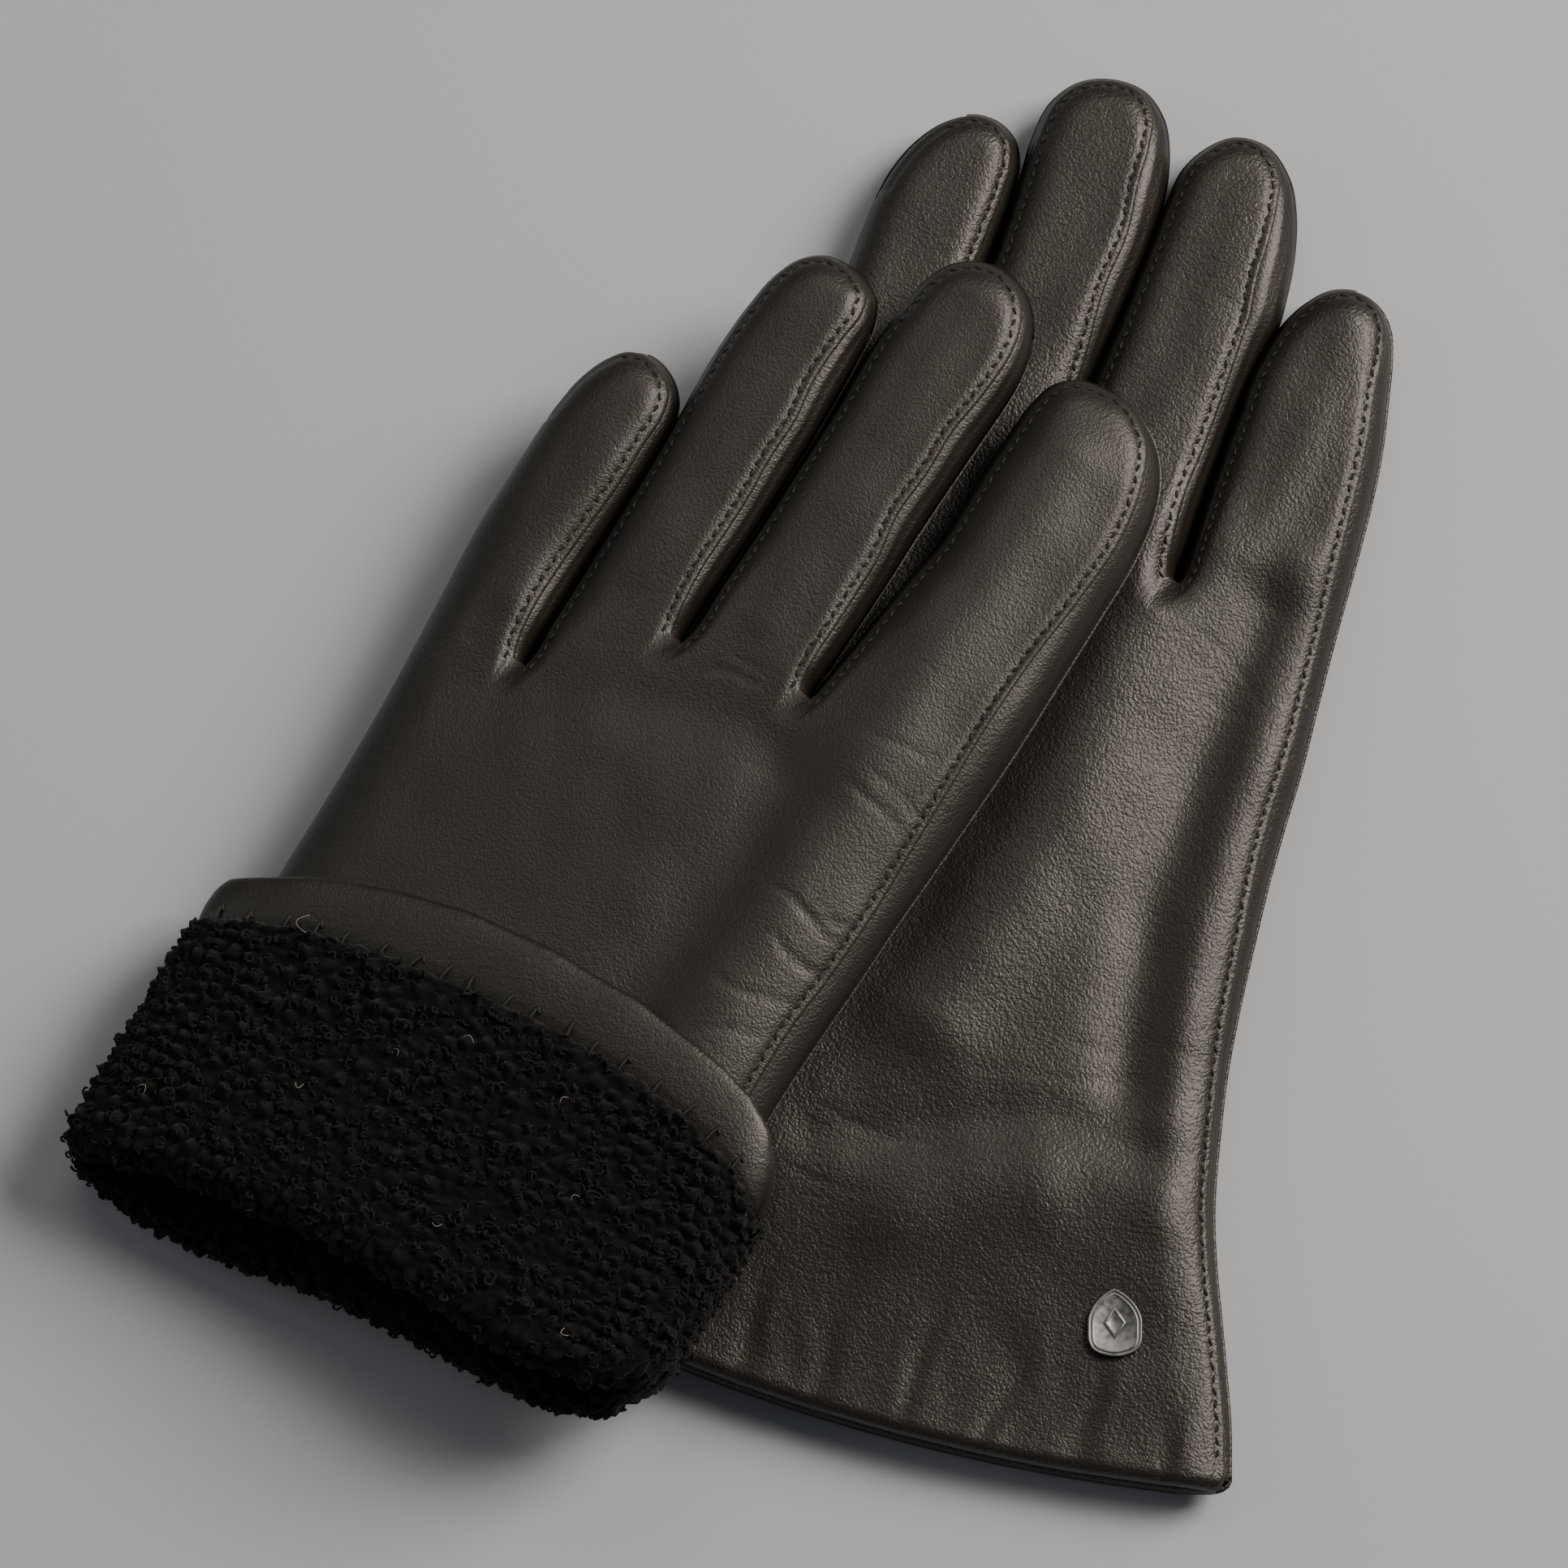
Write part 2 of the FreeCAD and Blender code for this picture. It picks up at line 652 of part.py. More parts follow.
def left_glove():
    """Every piece of the left-hand glove, in its own frame."""
    glove = {
        "fingers": LEFT_FINGERS,
        "stations": LEFT_STATIONS,
        "knuckle_centre": LEFT_KNUCKLE_CENTRE,
        "hem_bow": LEFT_HEM_BOW,
        "thumb": LEFT_THUMB,
    }
    leather, lining, middle = shell_layers(glove, beyond_hem(glove, 0.0))
    back, palm, fourchettes = split_shell(glove, leather)
    lining = lining.common(beyond_hem(glove, -LEATHER))
    lining_back, lining_palm = split_lining(glove, lining)
    half_gap = KNUCKLE_GAP / 2.0
    hand_part = box_between(-CUT_SIDE, CUT_SIDE, CUT_BELOW_HEM, KNUCKLE_LINE - half_gap,
                            CUT_LOW, CUT_HIGH)
    finger_part = box_between(-CUT_SIDE, CUT_SIDE, KNUCKLE_LINE + half_gap, CUT_BEYOND_TIPS,
                              CUT_LOW, CUT_HIGH)
    cuff_leather, cuff_pile, cuff_facing = turned_cuff(glove)
    thumb_leather, thumb_lining = thumb_pieces(LEFT_THUMB)
    seam_across = LEFT_STATIONS[1][2] / 2.0 - EDGE_RADIUS - SEAM_INSET
    seam_start = cuff_line(CUFF_DEPTH_MIDDLE, CUFF_DEPTH_SIDE, seam_across) + STITCH_PITCH
    seam = side_stitches(glove, seam_start)
    hand_seam = [bar for bar in seam if bar.BoundBox.YMax < KNUCKLE_LINE - half_gap]
    finger_seam = [bar for bar in seam if bar.BoundBox.YMin > KNUCKLE_LINE + half_gap]
    pieces = {
        "left_cuff_leather": cuff_leather,
        "left_cuff_pile": cuff_pile,
        "left_cuff_hem_facing": cuff_facing,
        "left_cuff_overcast_stitches": Part.makeCompound(overcast_stitches(glove)),
        "left_thumb_leather": thumb_leather,
        "left_thumb_lining": thumb_lining,
        "left_hand_side_stitches": Part.makeCompound(hand_seam),
        "left_finger_side_stitches": Part.makeCompound(finger_seam),
        "left_finger_stitches": Part.makeCompound(finger_stitches(glove)),
    }
    panels = {"back_leather": back, "palm_leather": palm,
              "back_lining": lining_back, "palm_lining": lining_palm}
    for name, shape in panels.items():
        pieces["left_hand_" + name] = shape.common(hand_part)
        pieces["left_fingers_" + name] = shape.common(finger_part)
    for name, shape in fourchettes.items():
        pieces["left_fourchette_" + name] = shape
    return pieces


def lowest_point(pieces):
    """Lowest height that any of these pieces reaches."""
    return min(shape.optimalBoundingBox(False, False).ZMin for shape in pieces.values())


def build():
    """Lay out the pair, centre it over its origin and write one file for each piece."""
    right = {name: lay_right(shape) for name, shape in right_glove().items()}
    left = {name: lay_left(shape, 0.0) for name, shape in left_glove().items()}
    lift = -lowest_point(left)
    for shape in left.values():
        shape.translate(Vector(0, 0, lift))
    pieces = dict(right)
    pieces.update(left)
    whole = Part.makeCompound(list(pieces.values())).optimalBoundingBox(False, False)
    shift = Vector(-whole.Center.x, -whole.Center.y, -whole.ZMin)
    os.makedirs("parts", exist_ok=True)
    for name, shape in sorted(pieces.items()):
        shape.translate(shift)
        shape.exportStep("parts/" + name + ".step")
        print(name, "solids", len(shape.Solids), "volume", round(shape.Volume, 1), shape.isValid())
    print("size", round(whole.XLength, 1), round(whole.YLength, 1), round(whole.ZLength, 1))
    print("shift", round(shift.x, 2), round(shift.y, 2), round(shift.z, 2), "lift", round(lift, 2))


build()
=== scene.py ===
import math

import bpy
import numpy as np
from bpy.props import FloatProperty, FloatVectorProperty, IntProperty, PointerProperty
from bpy.types import Operator, Panel, PropertyGroup
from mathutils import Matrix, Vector
from mathutils.geometry import delaunay_2d_cdt


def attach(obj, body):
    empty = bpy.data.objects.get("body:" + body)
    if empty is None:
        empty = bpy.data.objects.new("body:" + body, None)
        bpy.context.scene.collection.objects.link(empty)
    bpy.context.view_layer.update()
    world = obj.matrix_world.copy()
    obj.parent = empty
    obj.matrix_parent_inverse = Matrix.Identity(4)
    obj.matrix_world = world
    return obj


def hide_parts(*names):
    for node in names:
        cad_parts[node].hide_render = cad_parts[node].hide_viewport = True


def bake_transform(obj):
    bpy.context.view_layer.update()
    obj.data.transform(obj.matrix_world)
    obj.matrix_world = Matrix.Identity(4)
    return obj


bl_info = {
    "name": "Lined leather gloves",
    "version": (1, 0, 0),
    "blender": (4, 5, 0),
    "location": "3D View > Sidebar > Gloves",
    "description": "Builds a pair of lined dress gloves, one with its cuff turned back",
    "category": "Add Mesh",
}

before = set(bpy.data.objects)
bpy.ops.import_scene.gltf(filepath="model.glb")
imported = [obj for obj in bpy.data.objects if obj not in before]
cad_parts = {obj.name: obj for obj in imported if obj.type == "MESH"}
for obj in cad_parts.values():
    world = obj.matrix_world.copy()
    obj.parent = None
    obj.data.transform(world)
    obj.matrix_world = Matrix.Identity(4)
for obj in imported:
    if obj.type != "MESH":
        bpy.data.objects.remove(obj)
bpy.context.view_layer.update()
MM = 0.001

# ---- outlines: (across, along, inset of the back panel's seam), clockwise from the hem's left corner.
# Each glove is drawn in its own frame in millimetres: x across the hand, y from the hem to the tips.
RIGHT_OUTLINE = [
    (-54, -1, 0), (-52.2, 12, 0), (-50.9, 28, 0), (-50.5, 42, 0), (-51.3, 56, 0), (-53.2, 74, 0),
    (-55.8, 92, 0), (-60.5, 114, 0), (-64.8, 132, 0), (-67, 150, 0), (-66.6, 166, 0), (-65, 182, 0),
    (-63.2, 197, 0), (-62, 208, 0.3), (-60.4, 214.8, 0.7), (-57.5, 220.9, 0.9), (-53.2, 225.7, 0.9),
    (-48.6, 228, 0.9), (-44.2, 227.6, 1), (-40.8, 225.2, 1.1), (-39, 221, 1.2), (-38.9, 214, 1.3),
    (-39.7, 206, 1.4), (-41.4, 192, 1.4), (-43.2, 174, 1.4), (-45, 160, 1.4), (-45.9, 153.6, 1.3),
    (-45.5, 152, 1.2), (-45.1, 153.6, 1.1), (-44, 160, 1), (-42.1, 174, 0.9), (-40.3, 192, 0.9),
    (-38.8, 205, 0.9), (-38.2, 213, 0.9), (-37.9, 220, 0.9), (-37.6, 227, 0.9), (-35.9, 234, 0.9),
    (-32, 238.5, 0.9), (-26.5, 240.4, 0.9), (-20.5, 239.6, 1.2), (-16.2, 235.8, 2), (-13.3, 229, 3.8),
    (-12.3, 221, 4.9), (-12.9, 212, 3.9), (-14.5, 200, 3.9), (-17, 186, 1.7), (-19.6, 168, 1.5),
    (-21.9, 153.2, 1.3), (-21.6, 151.5, 1.2), (-21.1, 153.2, 1.1), (-18.6, 170, 1), (-15.9, 188, 1),
    (-14.1, 200, 0.9), (-12.6, 212, 0.8), (-11.5, 221, 0.8), (-10.2, 227.4, 0.8), (-7.6, 231.6, 0.8),
    (-2.5, 235.3, 0.8), (3, 235, 1.1), (8, 230.6, 1.8), (11.2, 223.7, 3.7), (12.7, 216.5, 5),
    (13.1, 209, 5.7), (13, 203.5, 5.4), (11.2, 197, 3.8), (9.3, 187, 2.6), (8.2, 177, 2.5),
    (7.3, 167, 2.8), (6.7, 158, 2.1), (6.3, 153.6, 1.4), (6.6, 152.1, 1.2), (7, 153.6, 1.1),
    (7.7, 160.5, 0.9), (8.4, 169.8, 0.8), (9, 177, 0.8), (9.9, 185, 0.8), (10.4, 191.6, 0.8),
    (11.9, 198.3, 0.8), (13.9, 203.8, 0.8), (17, 208.6, 0.8), (20.5, 211.7, 0.8), (24.8, 212.7, 0.8),
    (29.6, 210.8, 0.8), (32.2, 207.4, 0.9), (33.5, 203, 1.2), (34.8, 194.6, 2.2), (35.9, 185.8, 2.5),
    (36.4, 175.2, 2.8), (36.3, 164, 2.6), (36, 150.7, 2.1), (35.9, 137, 2), (35.9, 124.7, 2.2),
    (35.5, 115.4, 2.5), (35.2, 104.7, 2.3), (35.3, 92.5, 1.8), (35.5, 83, 1.6), (36.3, 68.4, 1.1),
    (37.6, 58, 0.9), (40.1, 43.5, 0.9), (42.6, 34.8, 0.9), (45.5, 26.4, 0.9), (48.5, 17.6, 0.9),
    (51.6, 8.2, 0.9), (54, -1.4, 0.9),
]
LEFT_OUTLINE = [
    (-48.2, 10, 0), (-47.8, 20, 0), (-47.2, 40, 0), (-46.8, 54.6, 0), (-46.5, 70, 0), (-46.4, 83.8, 0),
    (-46.8, 100.6, 0), (-47.5, 114, 0), (-48.5, 130.4, 0), (-48.3, 144.2, 0), (-47.9, 154, 0),
    (-46.6, 161.4, 0.3), (-44.6, 166, 0.6), (-41.6, 169.4, 0.8), (-37.8, 170.4, 0.9),
    (-33.6, 169.2, 1), (-30.2, 166.2, 1.1), (-28.6, 161.8, 1.3), (-28.2, 155, 1.7), (-28.2, 146, 1.7),
    (-28.3, 138, 2.1), (-28.4, 128, 2.5), (-28.3, 119, 2.4), (-28.2, 112.4, 1.5), (-27.8, 110.6, 1.2),
    (-27.4, 112.4, 1), (-27.5, 119, 0.9), (-27.6, 128, 0.9), (-27.7, 140, 0.9), (-27.7, 152, 0.9),
    (-28, 163, 0.9), (-28.3, 176, 0.9), (-27.5, 187.5, 0.9), (-26.3, 194, 0.9), (-23.8, 199, 0.9),
    (-20.4, 201.5, 0.9), (-16.8, 202, 0.9), (-12.8, 201.2, 1), (-9.2, 199, 1.3), (-7.3, 195.2, 1.8),
    (-6.5, 188, 3), (-6.2, 180, 3.7), (-6.1, 172, 3), (-6.2, 163, 3.2), (-6.3, 156, 2.8),
    (-6.4, 148, 2.7), (-6.6, 140, 2.5), (-6.6, 132, 1.7), (-6.5, 129, 1.3), (-6.1, 127.3, 1.2),
    (-5.7, 129, 1.1), (-5.6, 140, 0.9), (-5.5, 150, 0.9), (-5.4, 160, 0.9), (-5, 176, 0.9),
    (-4.9, 194, 0.9), (-4.2, 201, 0.9), (-3, 207, 0.9), (-0.4, 211.7, 0.9), (3.9, 214.4, 0.9),
    (8.4, 215, 1), (12.4, 213.8, 1.3), (15.8, 211, 1.7), (18.4, 206.6, 2.2), (19.8, 201, 2.7),
    (20.1, 196.5, 3.1), (19.9, 191, 3.4), (19.5, 184, 4), (19, 175, 3.6), (18.6, 166, 3.9),
    (18.4, 158, 2.7), (18.2, 150, 2.4), (18, 142, 2.2), (17.8, 135, 2), (17.6, 131.4, 1.4),
    (18, 129.5, 1.2), (18.4, 131.4, 1), (19.2, 137.5, 0.9), (20, 145, 0.9), (20.7, 152, 0.9),
    (21.6, 159, 0.9), (22.7, 165.3, 0.9), (23, 174, 0.9), (23.1, 182, 0.9), (23.5, 190, 0.9),
    (24.1, 197, 0.9), (25.7, 202, 0.9), (29, 204.9, 0.9), (33.6, 206, 0.9), (38.2, 206, 1),
    (42.6, 204.2, 1.3), (46.2, 201.6, 1.9), (49.2, 197.6, 2.7), (51.6, 191.3, 3.2), (52.8, 182, 3.3),
    (52.7, 169.9, 3.9), (52.5, 156, 5.2), (52.6, 141, 5.8), (52.4, 127.2, 5.2), (52, 113.3, 4.6),
    (51.3, 100.8, 3.8), (50.6, 87, 3.9), (49.8, 74.4, 4.4), (49.4, 63.9, 4.1), (49.6, 48, 4),
    (50.1, 24, 4), (50.4, 10, 4),
]

# ---- soft shapes on the backs: (points, half width, height), in the glove's own millimetres
RIGHT_SOFT = [
    ([(4, 158), (0, 128), (-3, 103), (-9, 84), (-16, 66)], 10, 2.3),
    ([(25, 150), (19.5, 117), (17.5, 91), (20, 62)], 6.5, -1.7),
    ([(-30, 150), (-24, 110), (-22, 70)], 9, -0.5),
    ([(27, 160), (26.5, 123), (25, 94), (27, 67), (31, 40)], 4.5, 0.45),
    ([(-12, 28), (-2, 36), (8, 40)], 8, 0.8),
    ([(-30, 40), (-10, 45), (8, 52), (28, 50)], 5, -0.7),
    ([(22, 22), (38, 20)], 8, -0.45),
    ([(-33, 170), (-24, 192), (-15, 222)], 4, 0.35),
    ([(-8, 166), (0, 190), (2, 222)], 4, 0.35),
    ([(18, 160), (23, 184), (25, 205)], 4, 0.4),
]
LEFT_SOFT = [
    ([(-20, 60), (-18, 82), (-12, 104)], 12, 0.55),
    ([(32, 62), (33, 90), (33, 120), (33, 150), (35, 190)], 8, 1.9),
    ([(20, 64), (22, 88), (23, 112)], 7, -1.0),
    ([(-40, 100), (-30, 104), (-14, 110), (4, 116), (18, 119)], 6, -0.5),
    ([(-36, 120), (-38, 160)], 4, 0.35),
    ([(-18, 135), (-18, 194)], 4, 0.3),
    ([(5, 138), (7, 206)], 4, 0.35),
]
# ---- creases: (points, half width, depth)
RIGHT_CREASES = [
    ([(-30.7, 45), (-22.7, 42.4), (-13.6, 41.7), (-2.2, 43.1)], 0.9, 0.3),
    ([(-35, 33.2), (-27.2, 31.3), (-17, 31.7)], 0.9, 0.25),
    ([(-8.6, 56.7), (2.7, 58.8), (12.7, 59.8), (21.9, 64.4)], 0.8, 0.2),
    ([(6.6, 66.7), (15.6, 65.9), (23.5, 69.5), (34.3, 67.6)], 0.8, 0.3),
    ([(16.5, 131.8), (25.7, 130.3), (33.5, 128.5)], 0.7, 0.22),
    ([(11.8, 144.3), (22.3, 137.8), (28.3, 131.7)], 0.8, 0.2),
    ([(31, 51.5), (37, 51.5), (41.5, 51.1)], 0.7, 0.22),
    ([(-24.9, 189.9), (-17.9, 185.6), (-15.4, 181.6)], 0.8, 0.2),
    ([(-1, 205), (5, 203), (9, 198)], 0.7, 0.18),
    ([(-24, 204), (-18, 203)], 0.7, 0.15),
    ([(16, 186), (24, 184), (33, 187)], 0.7, 0.15),
]
LEFT_CREASES = [
    ([(30.2, 118.9), (37.4, 117.2), (41.5, 116.2), (47.4, 114.3)], 0.75, 0.38),
    ([(32.7, 122.4), (41.3, 120.9), (47.6, 118.6)], 0.7, 0.3),
    ([(28.7, 95.3), (34, 95.2), (38.5, 93.9), (42, 92.4), (45.6, 93.1)], 0.85, 0.5),
    ([(38.5, 97.4), (43, 95.2), (47.2, 96.6)], 0.75, 0.42),
    ([(34, 88.2), (40, 86), (44.1, 85.7), (47.7, 87.4)], 0.85, 0.5),
    ([(28.4, 77.2), (33, 76.2), (36.8, 76.9), (44.9, 79.7)], 0.8, 0.4),
    ([(18.4, 77.4), (26.1, 78.4), (32.4, 80.3)], 0.8, 0.22),
    ([(29.6, 65.1), (37.1, 69.4), (43.4, 71.3)], 0.8, 0.32),
    ([(-6.6, 127.4), (-3.3, 125.4), (1, 125), (4.4, 125.8), (11, 127), (15.8, 128.4)], 0.85, 0.42),
    ([(2.9, 128.6), (9.5, 129.2), (15, 130.6)], 0.7, 0.25),
    ([(18.7, 129.2), (23.4, 131.5), (29, 133.4)], 0.75, 0.32),
    ([(28.9, 127.8), (36.5, 128.9), (44.8, 130.2)], 0.75, 0.22),
    ([(-29.5, 110.6), (-33.5, 110.2), (-40.7, 109.9)], 0.75, 0.25),
    ([(-21.7, 118.3), (-16.2, 120.2), (-11.3, 123.1)], 0.75, 0.22),
    ([(-14, 156), (-10.5, 160)], 0.7, 0.2),
    ([(9, 160), (14, 166)], 0.7, 0.2),
]

RIGHT_TURN, RIGHT_PLACE = -14.3, (32.24, -111.5)
LEFT_TURN, LEFT_PLACE = -30.0, (-68.16, -93.92, 12.75)
TILT, TILT_HEADING = 8.7, -21.0
DRAPE = [(-90, TILT), (0, TILT), (58, 0.3), (112, -3.2), (150, -3.2)]
MID, HIGH, LOW = 7.0, 13.45, 0.55
# how the back rolls off to the outline: where along the hand this fades out, and how much wider it is there
ROLL_OFF, HAND_ROLL_OFF = 6.4, {"left": (108, 150, 6.4), "right": (138, 170, 4.2)}
FAR_FROM_SEAM = 9.0
PANEL_LIP, PANEL_BACK = 0.42, 0.35
STITCH_SET_IN = 1.45
FLOOR_CLEARANCE, REST_CLEARANCE = 0.1, 0.35
UNDER_LAP = 1.6
THUMBS = {"right": ((-34.5, 80.0), 20.0), "left": ((30.5, 76.5), -80.0)}
THUMB_SPAN, THUMB_RADIUS = 38.0, 11.6
HEM_ROLL = 2.0
BADGE_SPOT = (28.2, 19.8)
CUFF_CENTRE, CUFF_MID = 1.0, 7.0
CUFF_POWER = 0.42
BAND_ROLL = 1.25
PILE_ROWS, PILE_HALF_WIDTH, PILE_HALF_HEIGHT, PILE_THICKNESS = 92, 56.6, 12.3, 5.5
WHIP_PITCH, WHIP_RADIUS, HOOK_RADIUS, FIBRE_RADIUS = 5.9, 0.33, 0.27, 0.05
CAMERA_TARGET = (7.34, 0.38)
BAND_TOP = [(-57, 44), (-55, 49.5), (-52.6, 52.4), (-39.8, 58.6), (-26.1, 63.2), (-11.5, 66.2), (4.6, 67.1),
            (21.4, 66.3), (39.7, 63.2), (46, 61), (51.6, 57.4), (55.2, 52.6), (57.5, 46)]
BAND_FOOT = [(-57, 42), (-48.3, 45), (-35.1, 49.4), (-19.8, 52), (-4.1, 53.6), (12, 54.2), (28.8, 53.4),
             (37.9, 51.8), (47.8, 48.8), (57.5, 43)]
FOLD_TOP = [(-57, -3.5), (-48, -2.8), (-38.4, -0.5), (-25, 1.6), (-9.6, 3), (5, 3), (14.8, 2.6), (24.7, 1.6),
            (33.1, 1), (46, 3), (52, 6.5), (57.5, 11)]
FOLD_FOOT = [(-57, -3.5), (-49.3, -5.6), (-42.8, -6.6), (-34.4, -6.8), (-19, -5.6), (-12.1, -4), (-3.7, -3.6),
             (3.9, -3), (20, -2), (36.8, -2), (44.1, -0.6), (50.7, 2), (54.6, 7.5), (57.5, 11)]


# ---------------------------------------------------------------- settings
class GloveSizes(PropertyGroup):
    """Mesh spacing and stitch sizes, in millimetres."""
    edge_step: FloatProperty(name="Edge step", description="Spacing along the outline", default=0.85, min=0.4)
    field_step: FloatProperty(name="Field step", description="Spacing over the back", default=0.85, min=0.5)
    palm_step: FloatProperty(name="Palm step", description="Spacing over the palm", default=2.0, min=0.8)
    stitch_pitch: FloatProperty(name="Stitch pitch", description="From one stitch to the next", default=2.15)
    stitch_length: FloatProperty(name="Stitch length", description="Length of one stitch", default=1.8)
    stitch_width: FloatProperty(name="Thread width", description="Diameter of the thread", default=0.56)


class PileSizes(PropertyGroup):
    """Sizes of the curly pile on the turned cuff, in millimetres."""
    clump: FloatProperty(name="Clump", description="Distance between clumps", default=2.8)
    clump_height: FloatProperty(name="Clump height", description="Depth between clumps", default=1.8)
    curls: IntProperty(name="Curls", description="Number of curls over the cuff", default=3800)
    curl_radius: FloatProperty(name="Curl radius", description="Radius of one curl", default=0.62)
    curl_width: FloatProperty(name="Curl width", description="Diameter of the yarn", default=0.5)
    seed: IntProperty(name="Seed", description="Seed of the scattered curls", default=7)


class GloveColours(PropertyGroup):
    """Colours of the finishes."""
    leather: FloatVectorProperty(name="Leather", description="Main tone of the glove leather",
                                 subtype="COLOR", default=(0.0106, 0.0089, 0.0069))
    leather_light: FloatVectorProperty(name="Leather, rubbed", description="Tone where the leather is rubbed",
                                       subtype="COLOR", default=(0.03, 0.024, 0.018))
    pile: FloatVectorProperty(name="Pile", description="Colour of the curly pile",
                              subtype="COLOR", default=(0.0031, 0.0034, 0.0040))
    thread: FloatVectorProperty(name="Thread", description="Colour of the sewing thread",
                                subtype="COLOR", default=(0.0035, 0.0033, 0.003))
    metal: FloatVectorProperty(name="Badge metal", description="Colour of the aged nickel",
                               subtype="COLOR", default=(0.42, 0.425, 0.43))


class StageSizes(PropertyGroup):
    """Floor, lights and camera."""
    camera_distance: FloatProperty(name="Camera distance", description="From the gloves to the camera",
                                   default=2.0, unit="LENGTH")
    frame_width: FloatProperty(name="Frame width", description="Width of the view at the gloves",
                               default=0.276, unit="LENGTH")
    elevation: FloatProperty(name="Camera elevation", description="Angle above the floor",
                             default=math.radians(75), subtype="ANGLE")
    floor: FloatVectorProperty(name="Floor", description="Colour of the floor",
                               subtype="COLOR", default=(0.43, 0.45, 0.49))


SETTINGS = {"glove_sizes": GloveSizes, "pile_sizes": PileSizes, "glove_colours": GloveColours,
            "stage_sizes": StageSizes}


# ---------------------------------------------------------------- outlines and surfaces
def travelled(points):
    """Distance along a row of points up to each of them."""
    return np.concatenate([[0], np.cumsum(np.linalg.norm(np.diff(points, axis=0), axis=1))])


def read_line(x, line):
    """Value at x of a line drawn through a few (x, value) points."""
    return np.interp(x, [p[0] for p in line], [p[1] for p in line])


def turned(x, y, degrees):
    """Coordinates turned about the origin."""
    c, s = math.cos(math.radians(degrees)), math.sin(math.radians(degrees))
    return x * c - y * s, x * s + y * c


def smooth_path(points, step):
    """Evenly spaced points along a smooth curve through the given rows."""
    rows = np.array(points, float)
    ends = np.vstack([2 * rows[0] - rows[1], rows, 2 * rows[-1] - rows[-2]])
    fine = []
    for i in range(1, len(ends) - 2):
        before, start, end, after = ends[i - 1:i + 3]
        gap = np.linalg.norm(end[:2] - start[:2])
        near = np.linalg.norm(start[:2] - before[:2])
        far = np.linalg.norm(after[:2] - end[:2])
        leave = (end - start) / gap - (end - before) / (gap + near) + (start - before) / near
        arrive = (after - end) / far - (after - start) / (gap + far) + (end - start) / gap
        leave, arrive = leave * gap, arrive * gap
        t = np.linspace(0, 1, max(4, int(gap / 0.15)), endpoint=False)[:, None]
        fine.append((2 * t**3 - 3 * t**2 + 1) * start + (t**3 - 2 * t**2 + t) * leave
                    + (3 * t**2 - 2 * t**3) * end + (t**3 - t**2) * arrive)
    fine = np.vstack(fine + [rows[-1:]])
    run = travelled(fine[:, :2])
    count = int(run[-1] / step)
    at = np.linspace(0, run[-1], count + 1)
    return np.column_stack([np.interp(at, run, fine[:, k]) for k in range(fine.shape[1])])


def inward_normals(path):
    """Unit normals that point into the glove, for a path that runs clockwise."""
    along = np.gradient(path[:, :2], axis=0)
    along /= np.linalg.norm(along, axis=1)[:, None]
    return np.column_stack([along[:, 1], -along[:, 0]])


def nearest(path, points):
    """Distance from each point to an open path, and the direction away from it."""
    start, run = path[:-1, :2], np.diff(path[:, :2], axis=0)
    size = (run**2).sum(1)
    distance, away = np.empty(len(points)), np.empty((len(points), 2))
    for k in range(0, len(points), 1500):
        some = points[k:k + 1500, None, :] - start[None]
        t = np.clip((some * run[None]).sum(2) / size, 0, 1)
        gap = some - t[..., None] * run[None]
        square = (gap**2).sum(2)
        best = square.argmin(1)
        rows = np.arange(len(best))
        distance[k:k + 1500] = np.sqrt(square[rows, best])
        normal = np.column_stack([run[best, 1], -run[best, 0]]) / np.sqrt(size[best])[:, None]
        vector = gap[rows, best]
        long = np.linalg.norm(vector, axis=1)
        away[k:k + 1500] = np.where((long > 0.02)[:, None], vector / np.maximum(long, 1e-9)[:, None], normal)
    return distance, away


def inside(loop, points):
    """True for each point inside a closed loop."""
    a, b = loop[:, :2], np.roll(loop[:, :2], -1, axis=0)
    result = np.zeros(len(points), bool)
    for k in range(0, len(points), 3000):
        p = points[k:k + 3000]
        above = (a[None, :, 1] > p[:, 1:2]) != (b[None, :, 1] > p[:, 1:2])
        rise = np.where(np.abs(b[:, 1] - a[:, 1]) < 1e-12, 1e-12, b[:, 1] - a[:, 1])
        cross = a[None, :, 0] + (p[:, 1:2] - a[None, :, 1]) * ((b[:, 0] - a[:, 0]) / rise)[None]
        result[k:k + 3000] = (above & (p[:, 0:1] < cross)).sum(1) % 2 == 1
    return result


def ramp(value, low, high):
    """Smooth step from 0 at low to 1 at high."""
    t = np.clip((value - low) / (high - low), 0, 1)
    return t * t * (3 - 2 * t)


def arch(depth, radius):
    """Quarter-round rise from 0 at the edge to 1 at this depth."""
    u = np.clip(depth / radius, 0, 1)
    return np.sqrt(np.maximum(1 - (1 - u)**2, 0))


def ripple(points, seed, size):
    """Soft uneven field between -1 and 1, made of a few crossed waves."""
    rng = np.random.default_rng(seed)
    total = np.zeros(len(points))
    for _ in range(7):
        angle, phase = rng.uniform(0, math.tau, 2)
        wave = math.tau / (size * rng.uniform(0.75, 1.5))
        total += np.sin(wave * (points[:, 0] * math.cos(angle) + points[:, 1] * math.sin(angle)) + phase)
    return total / 4.0


